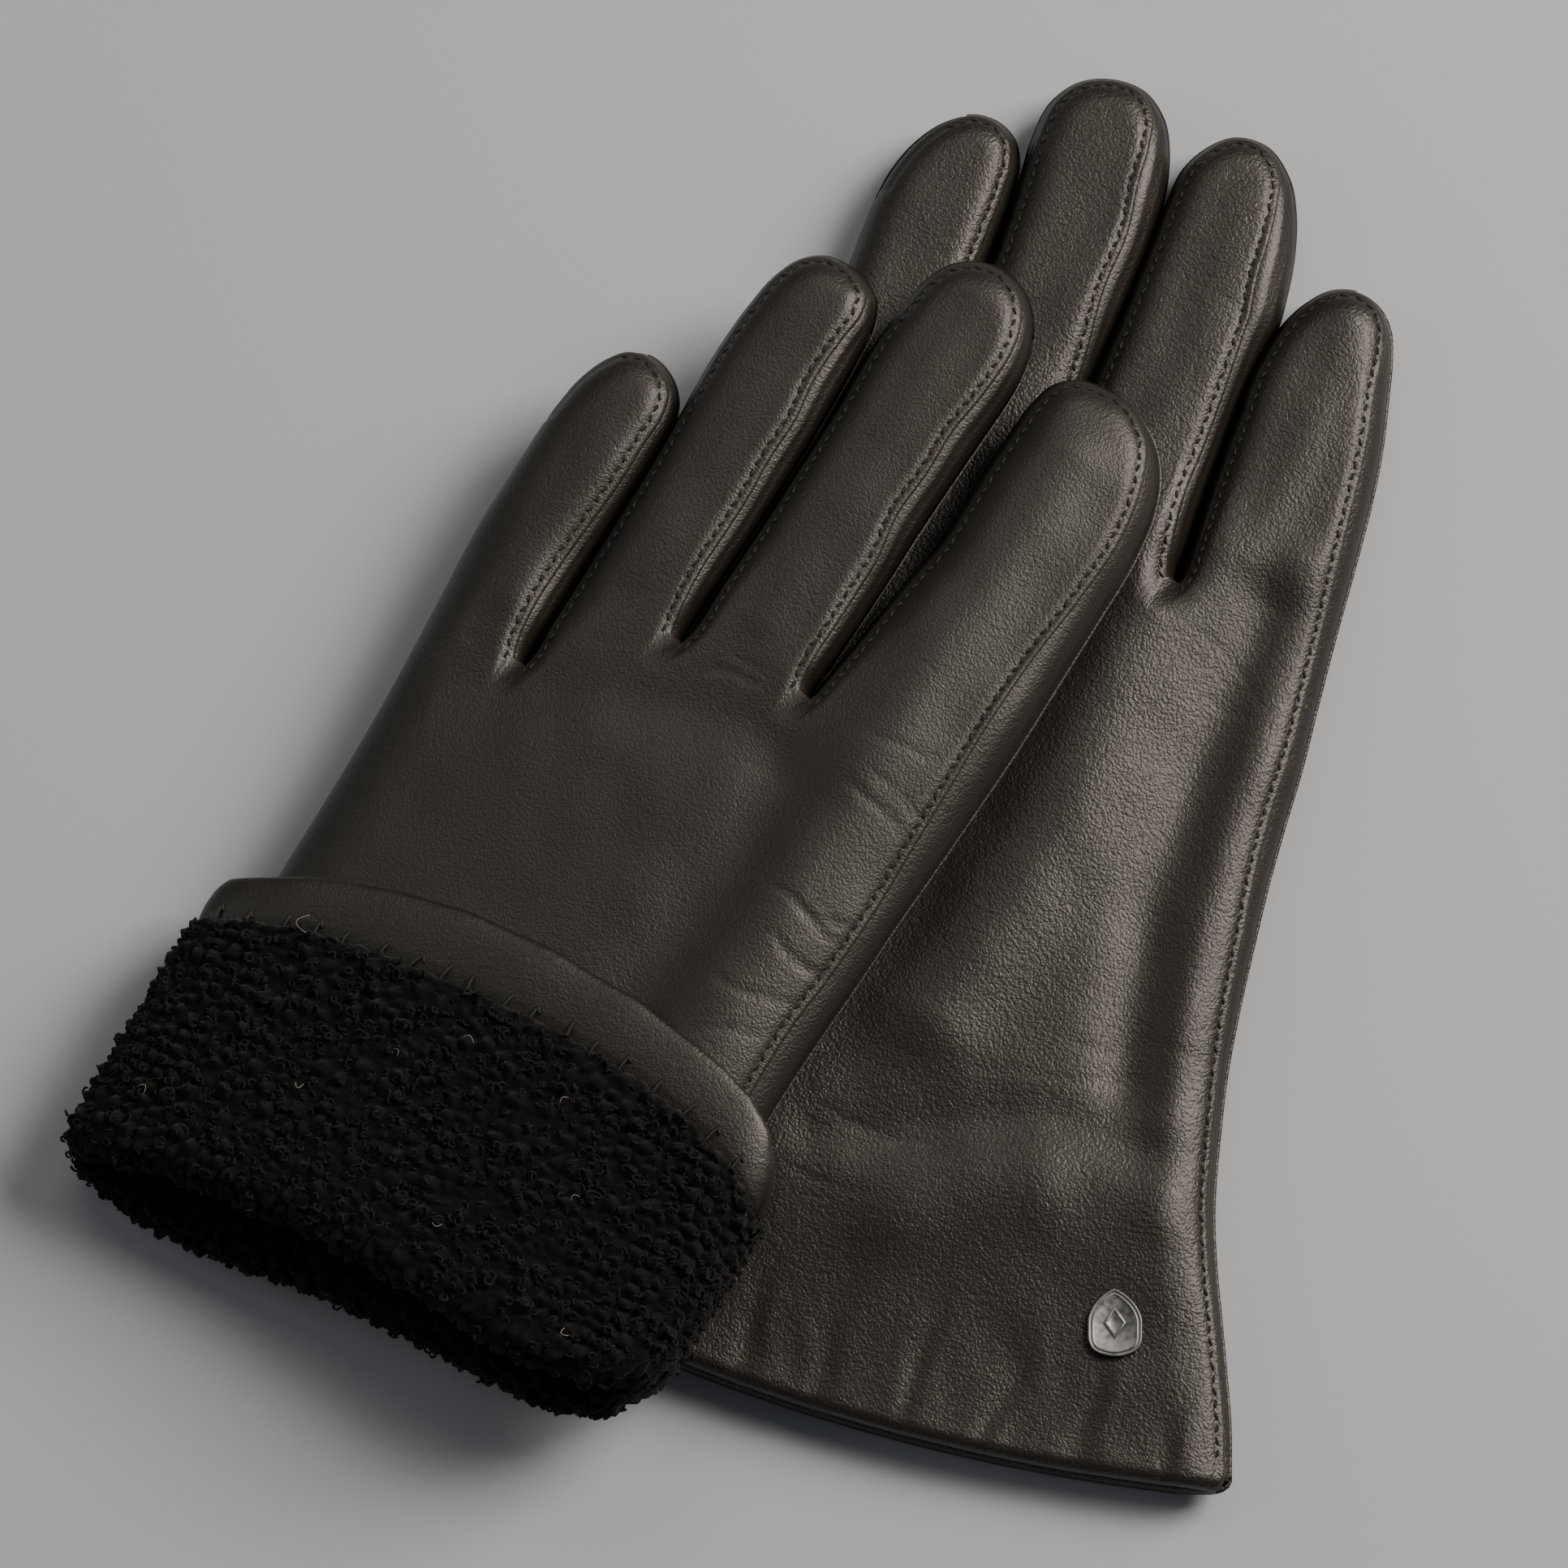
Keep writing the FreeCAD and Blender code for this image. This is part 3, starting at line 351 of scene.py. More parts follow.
def bend_table():
    """Lookup of the draped glove's base line: distance along it, forward, height and slope."""
    t = np.linspace(DRAPE[0][0], DRAPE[-1][0], 600)
    slope = np.radians(read_line(t, DRAPE))
    smooth = np.convolve(np.pad(slope, 30, mode="edge"), np.ones(61) / 61, mode="valid")
    step = t[1] - t[0]
    forward = np.cumsum(np.cos(smooth)) * step
    height = np.cumsum(np.sin(smooth)) * step
    forward -= np.interp(0, t, forward)
    height -= np.interp(0, t, height)
    return t, forward, height, smooth


BEND = bend_table()


def lay_right(points):
    """Right glove's own millimetres to metres in the shared frame."""
    x, y = turned(points[:, 0], points[:, 1], RIGHT_TURN)
    return np.column_stack([x + RIGHT_PLACE[0], y + RIGHT_PLACE[1], points[:, 2]]) * MM


def lay_left(points):
    """Left glove's own millimetres to metres in the shared frame, draped over the right glove."""
    uphill, across = turned(*turned(points[:, 0], points[:, 1], LEFT_TURN), -TILT_HEADING)
    t, forward, height, slope = BEND
    tilt = np.interp(uphill, t, slope)
    along = np.interp(uphill, t, forward) - points[:, 2] * np.sin(tilt)
    up = np.interp(uphill, t, height) + points[:, 2] * np.cos(tilt) + LEFT_PLACE[2]
    x, y = turned(along, across, TILT_HEADING)
    x, y = x + LEFT_PLACE[0], y + LEFT_PLACE[1]
    y = y - (1.4 + 0.036 * points[:, 0]) * ramp(points[:, 1], 100, 165)
    x = x + 0.9 * ramp(points[:, 1], 110, 165) * (1 - ramp(points[:, 0], -10, 30))
    return settle(np.column_stack([x, y, up])) * MM


def settle(points):
    """Low points of the left glove pushed up to rest on the floor and on the right glove."""
    floor = np.full(len(points), FLOOR_CLEARANCE)
    low = np.where(points[:, 2] < HIGH + 4)[0]
    shifted = points[low, :2] - np.array(RIGHT_PLACE)
    local = np.column_stack(turned(shifted[:, 0], shifted[:, 1], -RIGHT_TURN))
    glove = form("right")
    loop = np.vstack([glove.path[:, :2], hem_loop(glove, glove.path)])
    over = inside(loop, local)
    if over.any():
        place, _ = glove.surface(local[over], True, PANEL_LIP)
        floor[low[over]] = place[:, 2] + REST_CLEARANCE
    gap = points[:, 2] - floor
    lifted = np.where(gap > 1.5, gap, 0.15 + 1.35 * np.exp(np.minimum(gap - 1.5, 0) / 1.35))
    return np.column_stack([points[:, :2], floor + lifted])


class GloveForm:
    """Outline and surface of one glove, in its own millimetres."""

    def __init__(self, side, outline, tips, soft, creases, lay, hem):
        sizes = bpy.context.scene.glove_sizes
        self.side, self.soft, self.creases, self.lay, self.hem = side, soft, creases, lay, hem
        self.path = smooth_path(outline, sizes.edge_step)
        self.normal = inward_normals(self.path)
        self.tips = [int(np.linalg.norm(self.path[:, :2] - tip, axis=1).argmin()) for tip in tips]
        self.slits = list(zip(self.tips[:-1], self.tips[1:]))
        self.crotches = [self.path[start + int(self.path[start:end, 1].argmin()), :2]
                         for start, end in self.slits]
        self.palm_inset = np.zeros(len(self.path))
        for start, end in self.slits:
            share = np.linspace(0, 1, end - start + 1)
            self.palm_inset[start:end + 1] = 1.3 * np.clip(np.minimum(share, 1 - share) * 12, 0, 1)

    def edge_radius(self, points):
        """Distance over which the surface rolls off to the outline."""
        low, high, wider = HAND_ROLL_OFF[self.side]
        wide = ROLL_OFF + (1 - ramp(points[:, 1], low, high)) * wider
        gap = np.min([np.linalg.norm(points - crotch, axis=1) for crotch in self.crotches], axis=0)
        return wide * (0.36 + 0.64 * ramp(gap, 1.5, 26))

    def line(self, inset):
        """The outline moved inward by an inset for each of its points."""
        return self.path[:, :2] + self.normal * np.asarray(inset)[:, None]

    def relief(self, points):
        """Soft ridges, valleys, creases and unevenness, added to the height."""
        total = 0.16 * ripple(points, 3, 34) + 0.07 * ripple(points, 4, 11)
        for line, width, height in self.soft:
            gap, _ = nearest(smooth_path(line, 2.0), points)
            total += height * np.exp(-(gap / width)**2)
        for line, width, depth in self.creases:
            wander = 0.45 * ripple(points, 9, 4.5)
            path = smooth_path(line, 0.6)
            gap, _ = nearest(path, points)
            end = np.minimum(np.linalg.norm(points - path[0, :2], axis=1),
                             np.linalg.norm(points - path[-1, :2], axis=1))
            fade = ramp(end, -1.0, 4.0)
            total -= depth * 0.38 * np.exp(-((gap + wander) / (0.9 * width))**2) * fade
        if self.side == "right":
            near_hem = 1 - ramp(points[:, 1], 2, 22)
            wave = points[:, 0] + 3.0 * ripple(points, 8, 17)
            total += near_hem * (0.13 * np.sin(wave * 0.42) + 0.07 * np.sin(wave * 0.83 + 1))
        return total

    def surface(self, points, back, offset=0.0):
        """Points on the back or the palm, moved outward along the surface by an offset."""
        depth, away = nearest(self.path, points)
        radius = self.edge_radius(points)
        rise = arch(depth, radius)
        tall = HIGH - MID if back else MID - LOW
        if back and self.side == "right":
            tall = tall * (0.47 + 0.53 * ramp(points[:, 1], -6, 46))
        u = np.clip(depth / radius, 0, 1)
        slope = tall * (1 - u) / (radius * np.maximum(rise, 0.02))
        height = tall * rise
        if back:
            height = height + self.relief(points) * ramp(depth, 0.6, 7.0)
        tilted = np.column_stack([-slope * away[:, 0], -slope * away[:, 1], np.ones(len(points))])
        tilted /= np.linalg.norm(tilted, axis=1)[:, None]
        if not back:
            root, lean = THUMBS[self.side]
            along = np.array([math.sin(math.radians(lean)), math.cos(math.radians(lean))])
            reach = points - np.array(root)
            core = np.clip(reach @ along, 0, THUMB_SPAN)[:, None] * along
            clear = ramp(np.linalg.norm(reach - core, axis=1), THUMB_RADIUS + 1.2, THUMB_RADIUS + 3.6)
            height = -np.where(clear < 1, np.minimum(height * clear, height), height)
            tilted[:, 2] *= -1
            tilted = np.where(clear[:, None] < 0.02, [[0.0, 0.0, -1.0]], tilted)
        place = np.column_stack([points, MID + height])
        return place + tilted * np.asarray(offset).reshape(-1, 1), tilted


FORMS = {}


def form(side):
    """The right or the left glove's form, made once."""
    if side not in FORMS:
        if side == "right":
            tips = [(-50, 227.6), (-26.5, 240.4), (0, 235.3), (24.8, 212.7)]
            FORMS[side] = GloveForm(side, RIGHT_OUTLINE, tips, RIGHT_SOFT, RIGHT_CREASES, lay_right,
                                    lambda x: -5.7 + 4.4 * (x / 54) ** 2)
        else:
            tips = [(-38.5, 170.4), (-16.8, 202), (8, 215), (36, 206)]
            FORMS[side] = GloveForm(side, LEFT_OUTLINE, tips, LEFT_SOFT, LEFT_CREASES, lay_left,
                                    lambda x: x * 0.0 + 10.0)
    return FORMS[side]


# ---------------------------------------------------------------- meshes
def new_piece(name, points, faces, material, seam=None):
    """Mesh object from points in metres; seam is each point's distance from a seam (on the pile, its clump
    height for painted shade), or one value for all.
    """
    mesh = bpy.data.meshes.new(name)
    mesh.from_pydata(points.tolist(), [], [list(map(int, face)) for face in faces])
    mesh.polygons.foreach_set("use_smooth", [True] * len(mesh.polygons))
    if seam is not None:
        mark = mesh.attributes.new("seam", "FLOAT", "POINT")
        values = np.empty(len(points), np.float32)
        values[:] = seam
        mark.data.foreach_set("value", values)
    mesh.validate()
    piece = bpy.data.objects.new(name, mesh)
    bpy.context.scene.collection.objects.link(piece)
    piece.data.materials.append(material)
    return piece


def go_with(piece, side):
    """Ride on the right glove; a left glove piece only has its transform baked into its mesh."""
    if side == "right":
        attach(piece, "right_glove")
        return
    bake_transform(piece)


def contours(path, normal, insets):
    """Points on inner contours of an outline, kept only where they are truly that far in."""
    found = []
    for inset in insets:
        skip = max(1, int(inset / 3.2))
        some = (path[:, :2] + normal * inset)[::skip]
        gap, _ = nearest(path, some)
        found.append(some[gap > inset * 0.93])
    return np.vstack(found)


def hex_points(low, high, step):
    """Points of a triangular grid over a rectangle."""
    rows = []
    y, odd = low[1], False
    while y < high[1]:
        x = np.arange(low[0] + (step / 2 if odd else 0), high[0], step)
        rows.append(np.column_stack([x, np.full(len(x), y)]))
        y += step * 0.866
        odd = not odd
    return np.vstack(rows)


def triangulate(loop, inner):
    """Triangles that fill a closed loop with the inner points as corners."""
    count = len(loop)
    points = [Vector(p) for p in np.vstack([loop, inner])]
    edges = [(i, (i + 1) % count) for i in range(count)]
    result = delaunay_2d_cdt(points, edges, [], 1, 1e-5)
    corners = np.array([(v[0], v[1]) for v in result[0]])
    return corners, np.array([tuple(face) for face in result[2] if len(face) == 3])


def rim_edges(faces):
    """Edges that belong to one triangle only, in their triangle's direction."""
    pairs = np.vstack([faces[:, [0, 1]], faces[:, [1, 2]], faces[:, [2, 0]]])
    keys = np.sort(pairs, axis=1)
    order = keys[:, 0].astype(np.int64) * (keys.max() + 1) + keys[:, 1]
    _, first, counts = np.unique(order, return_index=True, return_counts=True)
    return pairs[first[counts == 1]]


def hem_loop(glove, path):
    """Points along the hem from the path's right end back to its left end."""
    x = np.linspace(path[-1, 0], path[0, 0], int((path[-1, 0] - path[0, 0]) / 0.9))[1:-1]
    ends = glove.hem(np.array([path[-1, 0], path[0, 0]]))
    fit = np.interp(x, [path[0, 0], path[-1, 0]], [path[0, 1] - ends[1], path[-1, 1] - ends[0]])
    return np.column_stack([x, glove.hem(x) + fit])


def panel(glove, back, inset, step, seam_parts):
    """Layered panel of the back or palm: points, triangles and seam marks."""
    line = np.column_stack([glove.line(inset), np.zeros(len(inset))])
    hem = hem_loop(glove, line)
    loop = np.vstack([line[:, :2], hem])
    rings = [0.12, 0.35, 0.7, 1.1, 1.45, 1.8, 2.4, 3.2, 4.2, 5.4, 6.8]
    inner = contours(line, glove.normal, rings)
    grid = hex_points(loop.min(0), loop.max(0), step)
    gap, _ = nearest(line, grid)
    grid = grid[gap > rings[-1] + 0.45 * step]
    inner = np.vstack([inner, grid])
    inner = inner[inside(loop, inner)]
    hem_gap, _ = nearest(np.vstack([line[-1:, :2], hem, line[:1, :2]]), inner)
    corners, faces = triangulate(loop, inner[hem_gap > 0.45])
    seams = np.full(len(corners), 99.0)
    for start, end in seam_parts:
        gap, _ = nearest(line[start:end], corners)
        seams = np.minimum(seams, gap)
    groove = 0.26 * np.exp(-((seams - STITCH_SET_IN) / 0.5)**2) if back else 0.0
    lip = PANEL_LIP * arch(seams, 0.7) - groove
    outer, _ = glove.surface(corners, back, lip)
    lower, _ = glove.surface(corners, back, -PANEL_BACK)
    if not back:
        faces = faces[:, ::-1]
    return corners, faces, outer, lower, seams


def close_panel(glove, back, corners, faces, outer, lower, hem_roll):
    """Join the outer and inner faces of a panel along its rim, with a rolled hem where asked."""
    count = len(corners)
    rim = rim_edges(faces)
    points = [outer, lower]
    all_faces = [tuple(f) for f in faces] + [tuple(f[::-1] + count) for f in faces]
    gap = np.abs(corners[:, 1] - glove.hem(corners[:, 0]))
    at_hem = (gap < 1.2) & (corners[:, 1] < 6) & np.isin(np.arange(count), rim)
    rolled = {}
    if hem_roll:
        _, normal = glove.surface(corners, back)
        edge = np.where(at_hem)[0]
        total = 2 * count
        rows = []
        for angle in np.radians([30, 60, 90, 120, 150, 180]):
            shift = -normal[edge] * hem_roll * (1 - math.cos(angle))
            shift[:, 1] -= hem_roll * math.sin(angle)
            rows.append(outer[edge] + shift)
        for reach in (1.5, 4.0, 7.0):
            shift = -normal[edge] * 2 * hem_roll
            shift[:, 1] += reach
            rows.append(outer[edge] + shift)
        points += rows
        for i, v in enumerate(edge):
            rolled[v] = [total + k * len(edge) + i for k in range(len(rows))]
    for a, b in rim:
        if a in rolled and b in rolled:
            chain_a, chain_b = [a] + rolled[a], [b] + rolled[b]
            for k in range(len(chain_a) - 1):
                all_faces.append((chain_b[k], chain_a[k], chain_a[k + 1], chain_b[k + 1]))
            all_faces.append((chain_b[-1], chain_a[-1], a + count, b + count))
        else:
            all_faces.append((b, a, a + count, b + count))
    return np.vstack(points), all_faces


def strip(glove, start, end, columns):
    """Grid of points along part of the outline; each column gives (back?, inset, offset)."""
    grid = []
    rows = slice(start, end)
    for back, inset, offset in columns:
        inset = np.broadcast_to(inset, (len(glove.path),))[rows]
        flat = glove.path[rows, :2] + glove.normal[rows] * inset[:, None]
        offset = np.broadcast_to(offset, (len(glove.path),))[rows]
        place, _ = glove.surface(flat, back, offset)
        grid.append(place)
    return np.array(grid)


def grid_faces(tall, wide, closed=False, base=0):
    """Quads between the rows of a grid whose rows have this many points."""
    faces = []
    last = wide if closed else wide - 1
    for i in range(tall - 1):
        for j in range(last):
            k = (j + 1) % wide
            faces.append((base + i * wide + j, base + i * wide + k,
                          base + (i + 1) * wide + k, base + (i + 1) * wide + j))
    return faces


def unit_ring(count, power=CUFF_POWER, half_width=56.0, half_height=12.0):
    """Evenly spaced corners of a flattened ring, as shares of its half width and half height."""
    angle = np.linspace(0, math.tau, 4000)
    c, s = np.cos(angle), np.sin(angle)
    x, z = np.sign(c) * np.abs(c) ** power, np.sign(s) * np.abs(s) ** power
    run = np.concatenate([[0], np.cumsum(np.hypot(np.diff(x) * half_width, np.diff(z) * half_height))])
    at = np.linspace(0, run[-1], count, endpoint=False)
    return np.interp(at, run, x), np.interp(at, run, z)


def cuff_row(unit, half_width, half_height, top_line, foot_line, shift):
    """One row around the turned cuff; its place along the glove follows a line drawn across it."""
    x = CUFF_CENTRE + half_width * unit[0]
    z = CUFF_MID + half_height * unit[1]
    upper, lower = read_line(x, top_line), read_line(x, foot_line)
    share = ramp(unit[1], -0.75, 0.75)
    return np.column_stack([x, upper * share + lower * (1 - share) + shift, z])


def sleeve_row(glove, unit, inset, along, gap):
    """One row around the inside of a glove's hand, this far in from its sides and from its faces."""
    left = np.interp(along, glove.path[:200, 1], glove.path[:200, 0])
    right = np.interp(along, glove.path[:-200:-1, 1], glove.path[:-200:-1, 0])
    centre, half = (left + right) / 2, (right - left) / 2 - inset
    x = centre + half * unit[0]
    lift = glove.hem(x) - glove.hem(np.zeros(1)) if glove.side == "right" else 0.0
    flat = np.column_stack([x, np.full(len(x), along) + lift])
    top, _ = glove.surface(flat, True, 0.0)
    foot, _ = glove.surface(flat, False, 0.0)
    half = np.maximum((top[:, 2] - foot[:, 2]) / 2 - gap, 0.9 - 0.12 * gap)
    return np.column_stack([flat, (top[:, 2] + foot[:, 2]) / 2 + half * unit[1]])


def grid_normals(grid):
    """Outward unit normals of a grid of points that is closed along its second axis."""
    around = np.roll(grid, -1, axis=1) - np.roll(grid, 1, axis=1)
    down = np.gradient(grid, axis=0)
    normal = np.cross(around, down)
    return normal / np.maximum(np.linalg.norm(normal, axis=2), 1e-9)[..., None]


def clumps(points, size, seed):
    """Rounded cells in space, 1 at each cell's middle and 0 between cells."""
    cell = np.floor(points / size).astype(np.int64)
    nearest_gap = np.full(len(points), 9.0)
    second_gap = np.full(len(points), 9.0)
    for i in (-1, 0, 1):
        for j in (-1, 0, 1):
            for k in (-1, 0, 1):
                at = cell + np.array([i, j, k])
                mix = (at[:, 0] * 73856093) ^ (at[:, 1] * 19349663) ^ (at[:, 2] * 83492791) ^ seed
                shift = np.column_stack([((mix * m) % 1000003) / 1000003.0 for m in (7919, 104729, 15485863)])
                gap = np.linalg.norm(points / size - at - 0.15 - 0.7 * shift, axis=1)
                second_gap = np.minimum(second_gap, np.maximum(gap, nearest_gap))
                nearest_gap = np.minimum(nearest_gap, gap)
    return np.clip((second_gap - nearest_gap) * 1.6, 0, 1)


def tube(line, radius, sides):
    """Points and faces of a closed thin tube along a line of points."""
    count = len(line)
    along = np.gradient(line, axis=0)
    along /= np.maximum(np.linalg.norm(along, axis=1), 1e-9)[:, None]
    helper = np.array([0.3, 0.2, 1.0]) if abs(along[0, 2]) < 0.9 else np.array([1.0, 0.2, 0.1])
    side = np.cross(along, helper)
    side /= np.linalg.norm(side, axis=1)[:, None]
    other = np.cross(along, side)
    radius = np.broadcast_to(radius, (count,))
    turn = np.linspace(0, math.tau, sides, endpoint=False)
    points = [line[i] + radius[i] * (math.cos(a) * side[i] + math.sin(a) * other[i])
              for i in range(count) for a in turn]
    faces = grid_faces(count, sides, closed=True)
    faces.append(tuple(reversed(range(sides))))
    faces.append(tuple((count - 1) * sides + j for j in range(sides)))
    return points, faces


def stitch_shape(middle, along, up, length, width):
    """One low thread loop that dips into the leather at both ends."""
    t = np.linspace(-0.5, 0.5, 5)
    line = middle + np.outer(t * length, along) + np.outer(-0.9 * (2 * t) ** 4 * width, up)
    return tube(line, width * 0.5 * np.array([0.6, 0.95, 1.0, 0.95, 0.6]), 6)


def join_shapes(shapes):
    """One list of points and one of faces from several."""
    points, faces = [], []
    for some_points, some_faces in shapes:
        base = len(points)
        points.extend(some_points)
        faces.extend(tuple(i + base for i in face) for face in some_faces)
    return np.array(points), faces


# ---------------------------------------------------------------- materials
def new_group(name, inputs, outputs):
    """Empty shader node group with float or vector sockets."""
    group = bpy.data.node_groups.new(name, "ShaderNodeTree")
    for label, kind, value in inputs:
        socket = group.interface.new_socket(label, in_out="INPUT", socket_type=kind)
        if value is not None:
            socket.default_value = value
    for label, kind in outputs:
        group.interface.new_socket(label, in_out="OUTPUT", socket_type=kind)
    return group, group.nodes.new("NodeGroupInput"), group.nodes.new("NodeGroupOutput")


def add(tree, kind, **values):
    """New node with its properties and its unlinked input values set."""
    node = tree.nodes.new(kind)
    for key, value in values.items():
        if key.startswith("in_"):
            node.inputs[int(key[3:])].default_value = value
        else:
            setattr(node, key, value)
    return node


def grain_group():
    """Leather grain: small pebbles, fine pores and drawn ripples, as one height and one tone."""
    group, start, end = new_group(
        "leather_grain",
        [("Vector", "NodeSocketVector", None), ("Pebble", "NodeSocketFloat", 1.25),
         ("Ripple", "NodeSocketFloat", 0.5)],
        [("Height", "NodeSocketFloat"), ("Tone", "NodeSocketFloat")])
    link = group.links.new
    warp = add(group, "ShaderNodeTexNoise", in_2=0.45, in_3=2.0)
    link(start.outputs["Vector"], warp.inputs["Vector"])
    push = add(group, "ShaderNodeVectorMath", operation="MULTIPLY_ADD")
    push.inputs[1].default_value = (1.6, 1.6, 1.6)
    link(warp.outputs["Color"], push.inputs[0])
    link(start.outputs["Vector"], push.inputs[2])
    size = add(group, "ShaderNodeMath", operation="DIVIDE", in_0=1.0)
    link(start.outputs["Pebble"], size.inputs[1])
    pebble = add(group, "ShaderNodeTexVoronoi", feature="SMOOTH_F1")
    pebble.inputs["Smoothness"].default_value = 0.35
    link(push.outputs[0], pebble.inputs["Vector"])
    link(size.outputs[0], pebble.inputs["Scale"])
    dome = add(group, "ShaderNodeMath", operation="MULTIPLY_ADD", in_1=-0.75, in_2=0.75)
    link(pebble.outputs["Distance"], dome.inputs[0])
    fine = add(group, "ShaderNodeTexNoise", in_2=2.6, in_3=4.0)
    link(start.outputs["Vector"], fine.inputs["Vector"])
    drawn = add(group, "ShaderNodeMapping")
    drawn.inputs["Rotation"].default_value = (0, 0, 0.35)
    drawn.inputs["Scale"].default_value = (0.35, 1.15, 0.8)
    link(push.outputs[0], drawn.inputs["Vector"])
    pull = add(group, "ShaderNodeTexNoise", in_2=0.85, in_3=3.0)
    link(drawn.outputs[0], pull.inputs["Vector"])
    strong = add(group, "ShaderNodeMath", operation="MULTIPLY")
    link(pull.outputs["Fac"], strong.inputs[0])
    link(start.outputs["Ripple"], strong.inputs[1])
    both = add(group, "ShaderNodeMath", operation="MULTIPLY_ADD", in_1=0.5)
    link(fine.outputs["Fac"], both.inputs[0])
    link(dome.outputs[0], both.inputs[2])
    total = add(group, "ShaderNodeMath", operation="ADD")
    link(both.outputs[0], total.inputs[0])
    link(strong.outputs[0], total.inputs[1])
    broad = add(group, "ShaderNodeTexNoise", in_2=0.05, in_3=3.0)
    link(start.outputs["Vector"], broad.inputs["Vector"])
    tone = add(group, "ShaderNodeMath", operation="MULTIPLY_ADD", in_1=0.35)
    link(total.outputs[0], tone.inputs[0])
    link(broad.outputs["Fac"], tone.inputs[2])
    link(total.outputs[0], end.inputs["Height"])
    link(tone.outputs[0], end.inputs["Tone"])
    return group


def millimetre_vector(tree):
    """Object coordinates in millimetres."""
    place = add(tree, "ShaderNodeTexCoord")
    scale = add(tree, "ShaderNodeMapping")
    scale.inputs["Scale"].default_value = (1000, 1000, 1000)
    tree.links.new(place.outputs["Object"], scale.inputs["Vector"])
    return scale.outputs[0]


def mix_colour(tree, mask, first, second):
    """Colour between two colours by a mask."""
    mix = add(tree, "ShaderNodeMix", data_type="RGBA")
    mix.inputs["A"].default_value = (*first, 1)
    mix.inputs["B"].default_value = (*second, 1)
    tree.links.new(mask, mix.inputs["Factor"])
    return mix.outputs["Result"]


def new_material(name):
    """Fresh material: itself, its node tree, its shader and its place in millimetres."""
    material = bpy.data.materials.new(name)
    material.use_nodes = True
    tree = material.node_tree
    return material, tree, tree.nodes["Principled BSDF"], millimetre_vector(tree)


def shades(colour, *shares):
    """The same colour darker or lighter by each share."""
    return [tuple(c * share for c in colour) for share in shares]


def raise_grain(tree, skin, height, distance, strength=1.0):
    """Bump on a shader from a height, with its depth in millimetres."""
    bump = add(tree, "ShaderNodeBump")
    bump.inputs["Strength"].default_value = strength
    bump.inputs["Distance"].default_value = distance * MM
    tree.links.new(height, bump.inputs["Height"])
    tree.links.new(bump.outputs[0], skin.inputs["Normal"])


def leather_material(name, grain, pebble, rip, depth, rough, shade=1.0):
    """Glove leather with grain, uneven tone and rubbed seams."""
    colours = bpy.context.scene.glove_colours
    material, tree, skin, vector = new_material(name)
    use = add(tree, "ShaderNodeGroup", node_tree=grain)
    use.inputs["Pebble"].default_value = pebble
    use.inputs["Ripple"].default_value = rip
    tree.links.new(vector, use.inputs["Vector"])
    spread = add(tree, "ShaderNodeMapRange", in_1=0.45, in_2=1.25)
    tree.links.new(use.outputs["Tone"], spread.inputs[0])
    dark, light = shades(colours.leather, 0.8 * shade, 1.45 * shade)
    base = mix_colour(tree, spread.outputs[0], dark, light)
    seam = add(tree, "ShaderNodeAttribute", attribute_name="seam")
    rub = add(tree, "ShaderNodeMapRange", in_1=0.0, in_2=0.9, in_3=0.55, in_4=0.0)
    tree.links.new(seam.outputs["Fac"], rub.inputs[0])
    worn = add(tree, "ShaderNodeMix", data_type="RGBA")
    worn.inputs["B"].default_value = (*shades(colours.leather_light, shade)[0], 1)
    tree.links.new(base, worn.inputs["A"])
    tree.links.new(rub.outputs[0], worn.inputs["Factor"])
    tree.links.new(worn.outputs["Result"], skin.inputs["Base Color"])
    gloss = add(tree, "ShaderNodeMapRange", in_1=0.3, in_2=1.4, in_3=rough + 0.07, in_4=rough - 0.06)
    tree.links.new(use.outputs["Tone"], gloss.inputs[0])
    tree.links.new(gloss.outputs[0], skin.inputs["Roughness"])
    raise_grain(tree, skin, use.outputs["Height"], depth)
    skin.inputs["Specular IOR Level"].default_value = 0.5
    skin.inputs["Sheen Weight"].default_value = 0.0
    return material


def pile_material():
    """Matt black curly pile, with painted shade between its clumps and the lit tone on their tops."""
    colours = bpy.context.scene.glove_colours
    material, tree, skin, vector = new_material("pile")
    fuzz = add(tree, "ShaderNodeTexNoise", in_2=3.2, in_3=5.0)
    tree.links.new(vector, fuzz.inputs["Vector"])
    dark, light = shades(colours.pile, 0.5, 2.7)
    spread = add(tree, "ShaderNodeMapRange", in_1=0.3, in_2=0.62)
    tree.links.new(fuzz.outputs["Fac"], spread.inputs[0])
    # painted shade: the seam attribute holds the clump height here, and low points between clumps are
    # darkened
    clump_shade_mask = add(tree, "ShaderNodeAttribute", attribute_name="seam")
    rise = add(tree, "ShaderNodeMapRange", in_1=0.25, in_2=0.95, in_3=0.25, in_4=1.0)
    tree.links.new(clump_shade_mask.outputs["Fac"], rise.inputs[0])
    shade = add(tree, "ShaderNodeMath", operation="MULTIPLY")
    tree.links.new(spread.outputs[0], shade.inputs[0])
    tree.links.new(rise.outputs[0], shade.inputs[1])
    tree.links.new(mix_colour(tree, shade.outputs[0], dark, light), skin.inputs["Base Color"])
    raise_grain(tree, skin, fuzz.outputs["Fac"], 0.3)
    skin.inputs["Roughness"].default_value = 0.95
    skin.inputs["Specular IOR Level"].default_value = 0.12
    skin.inputs["Sheen Weight"].default_value = 0.06
    return material


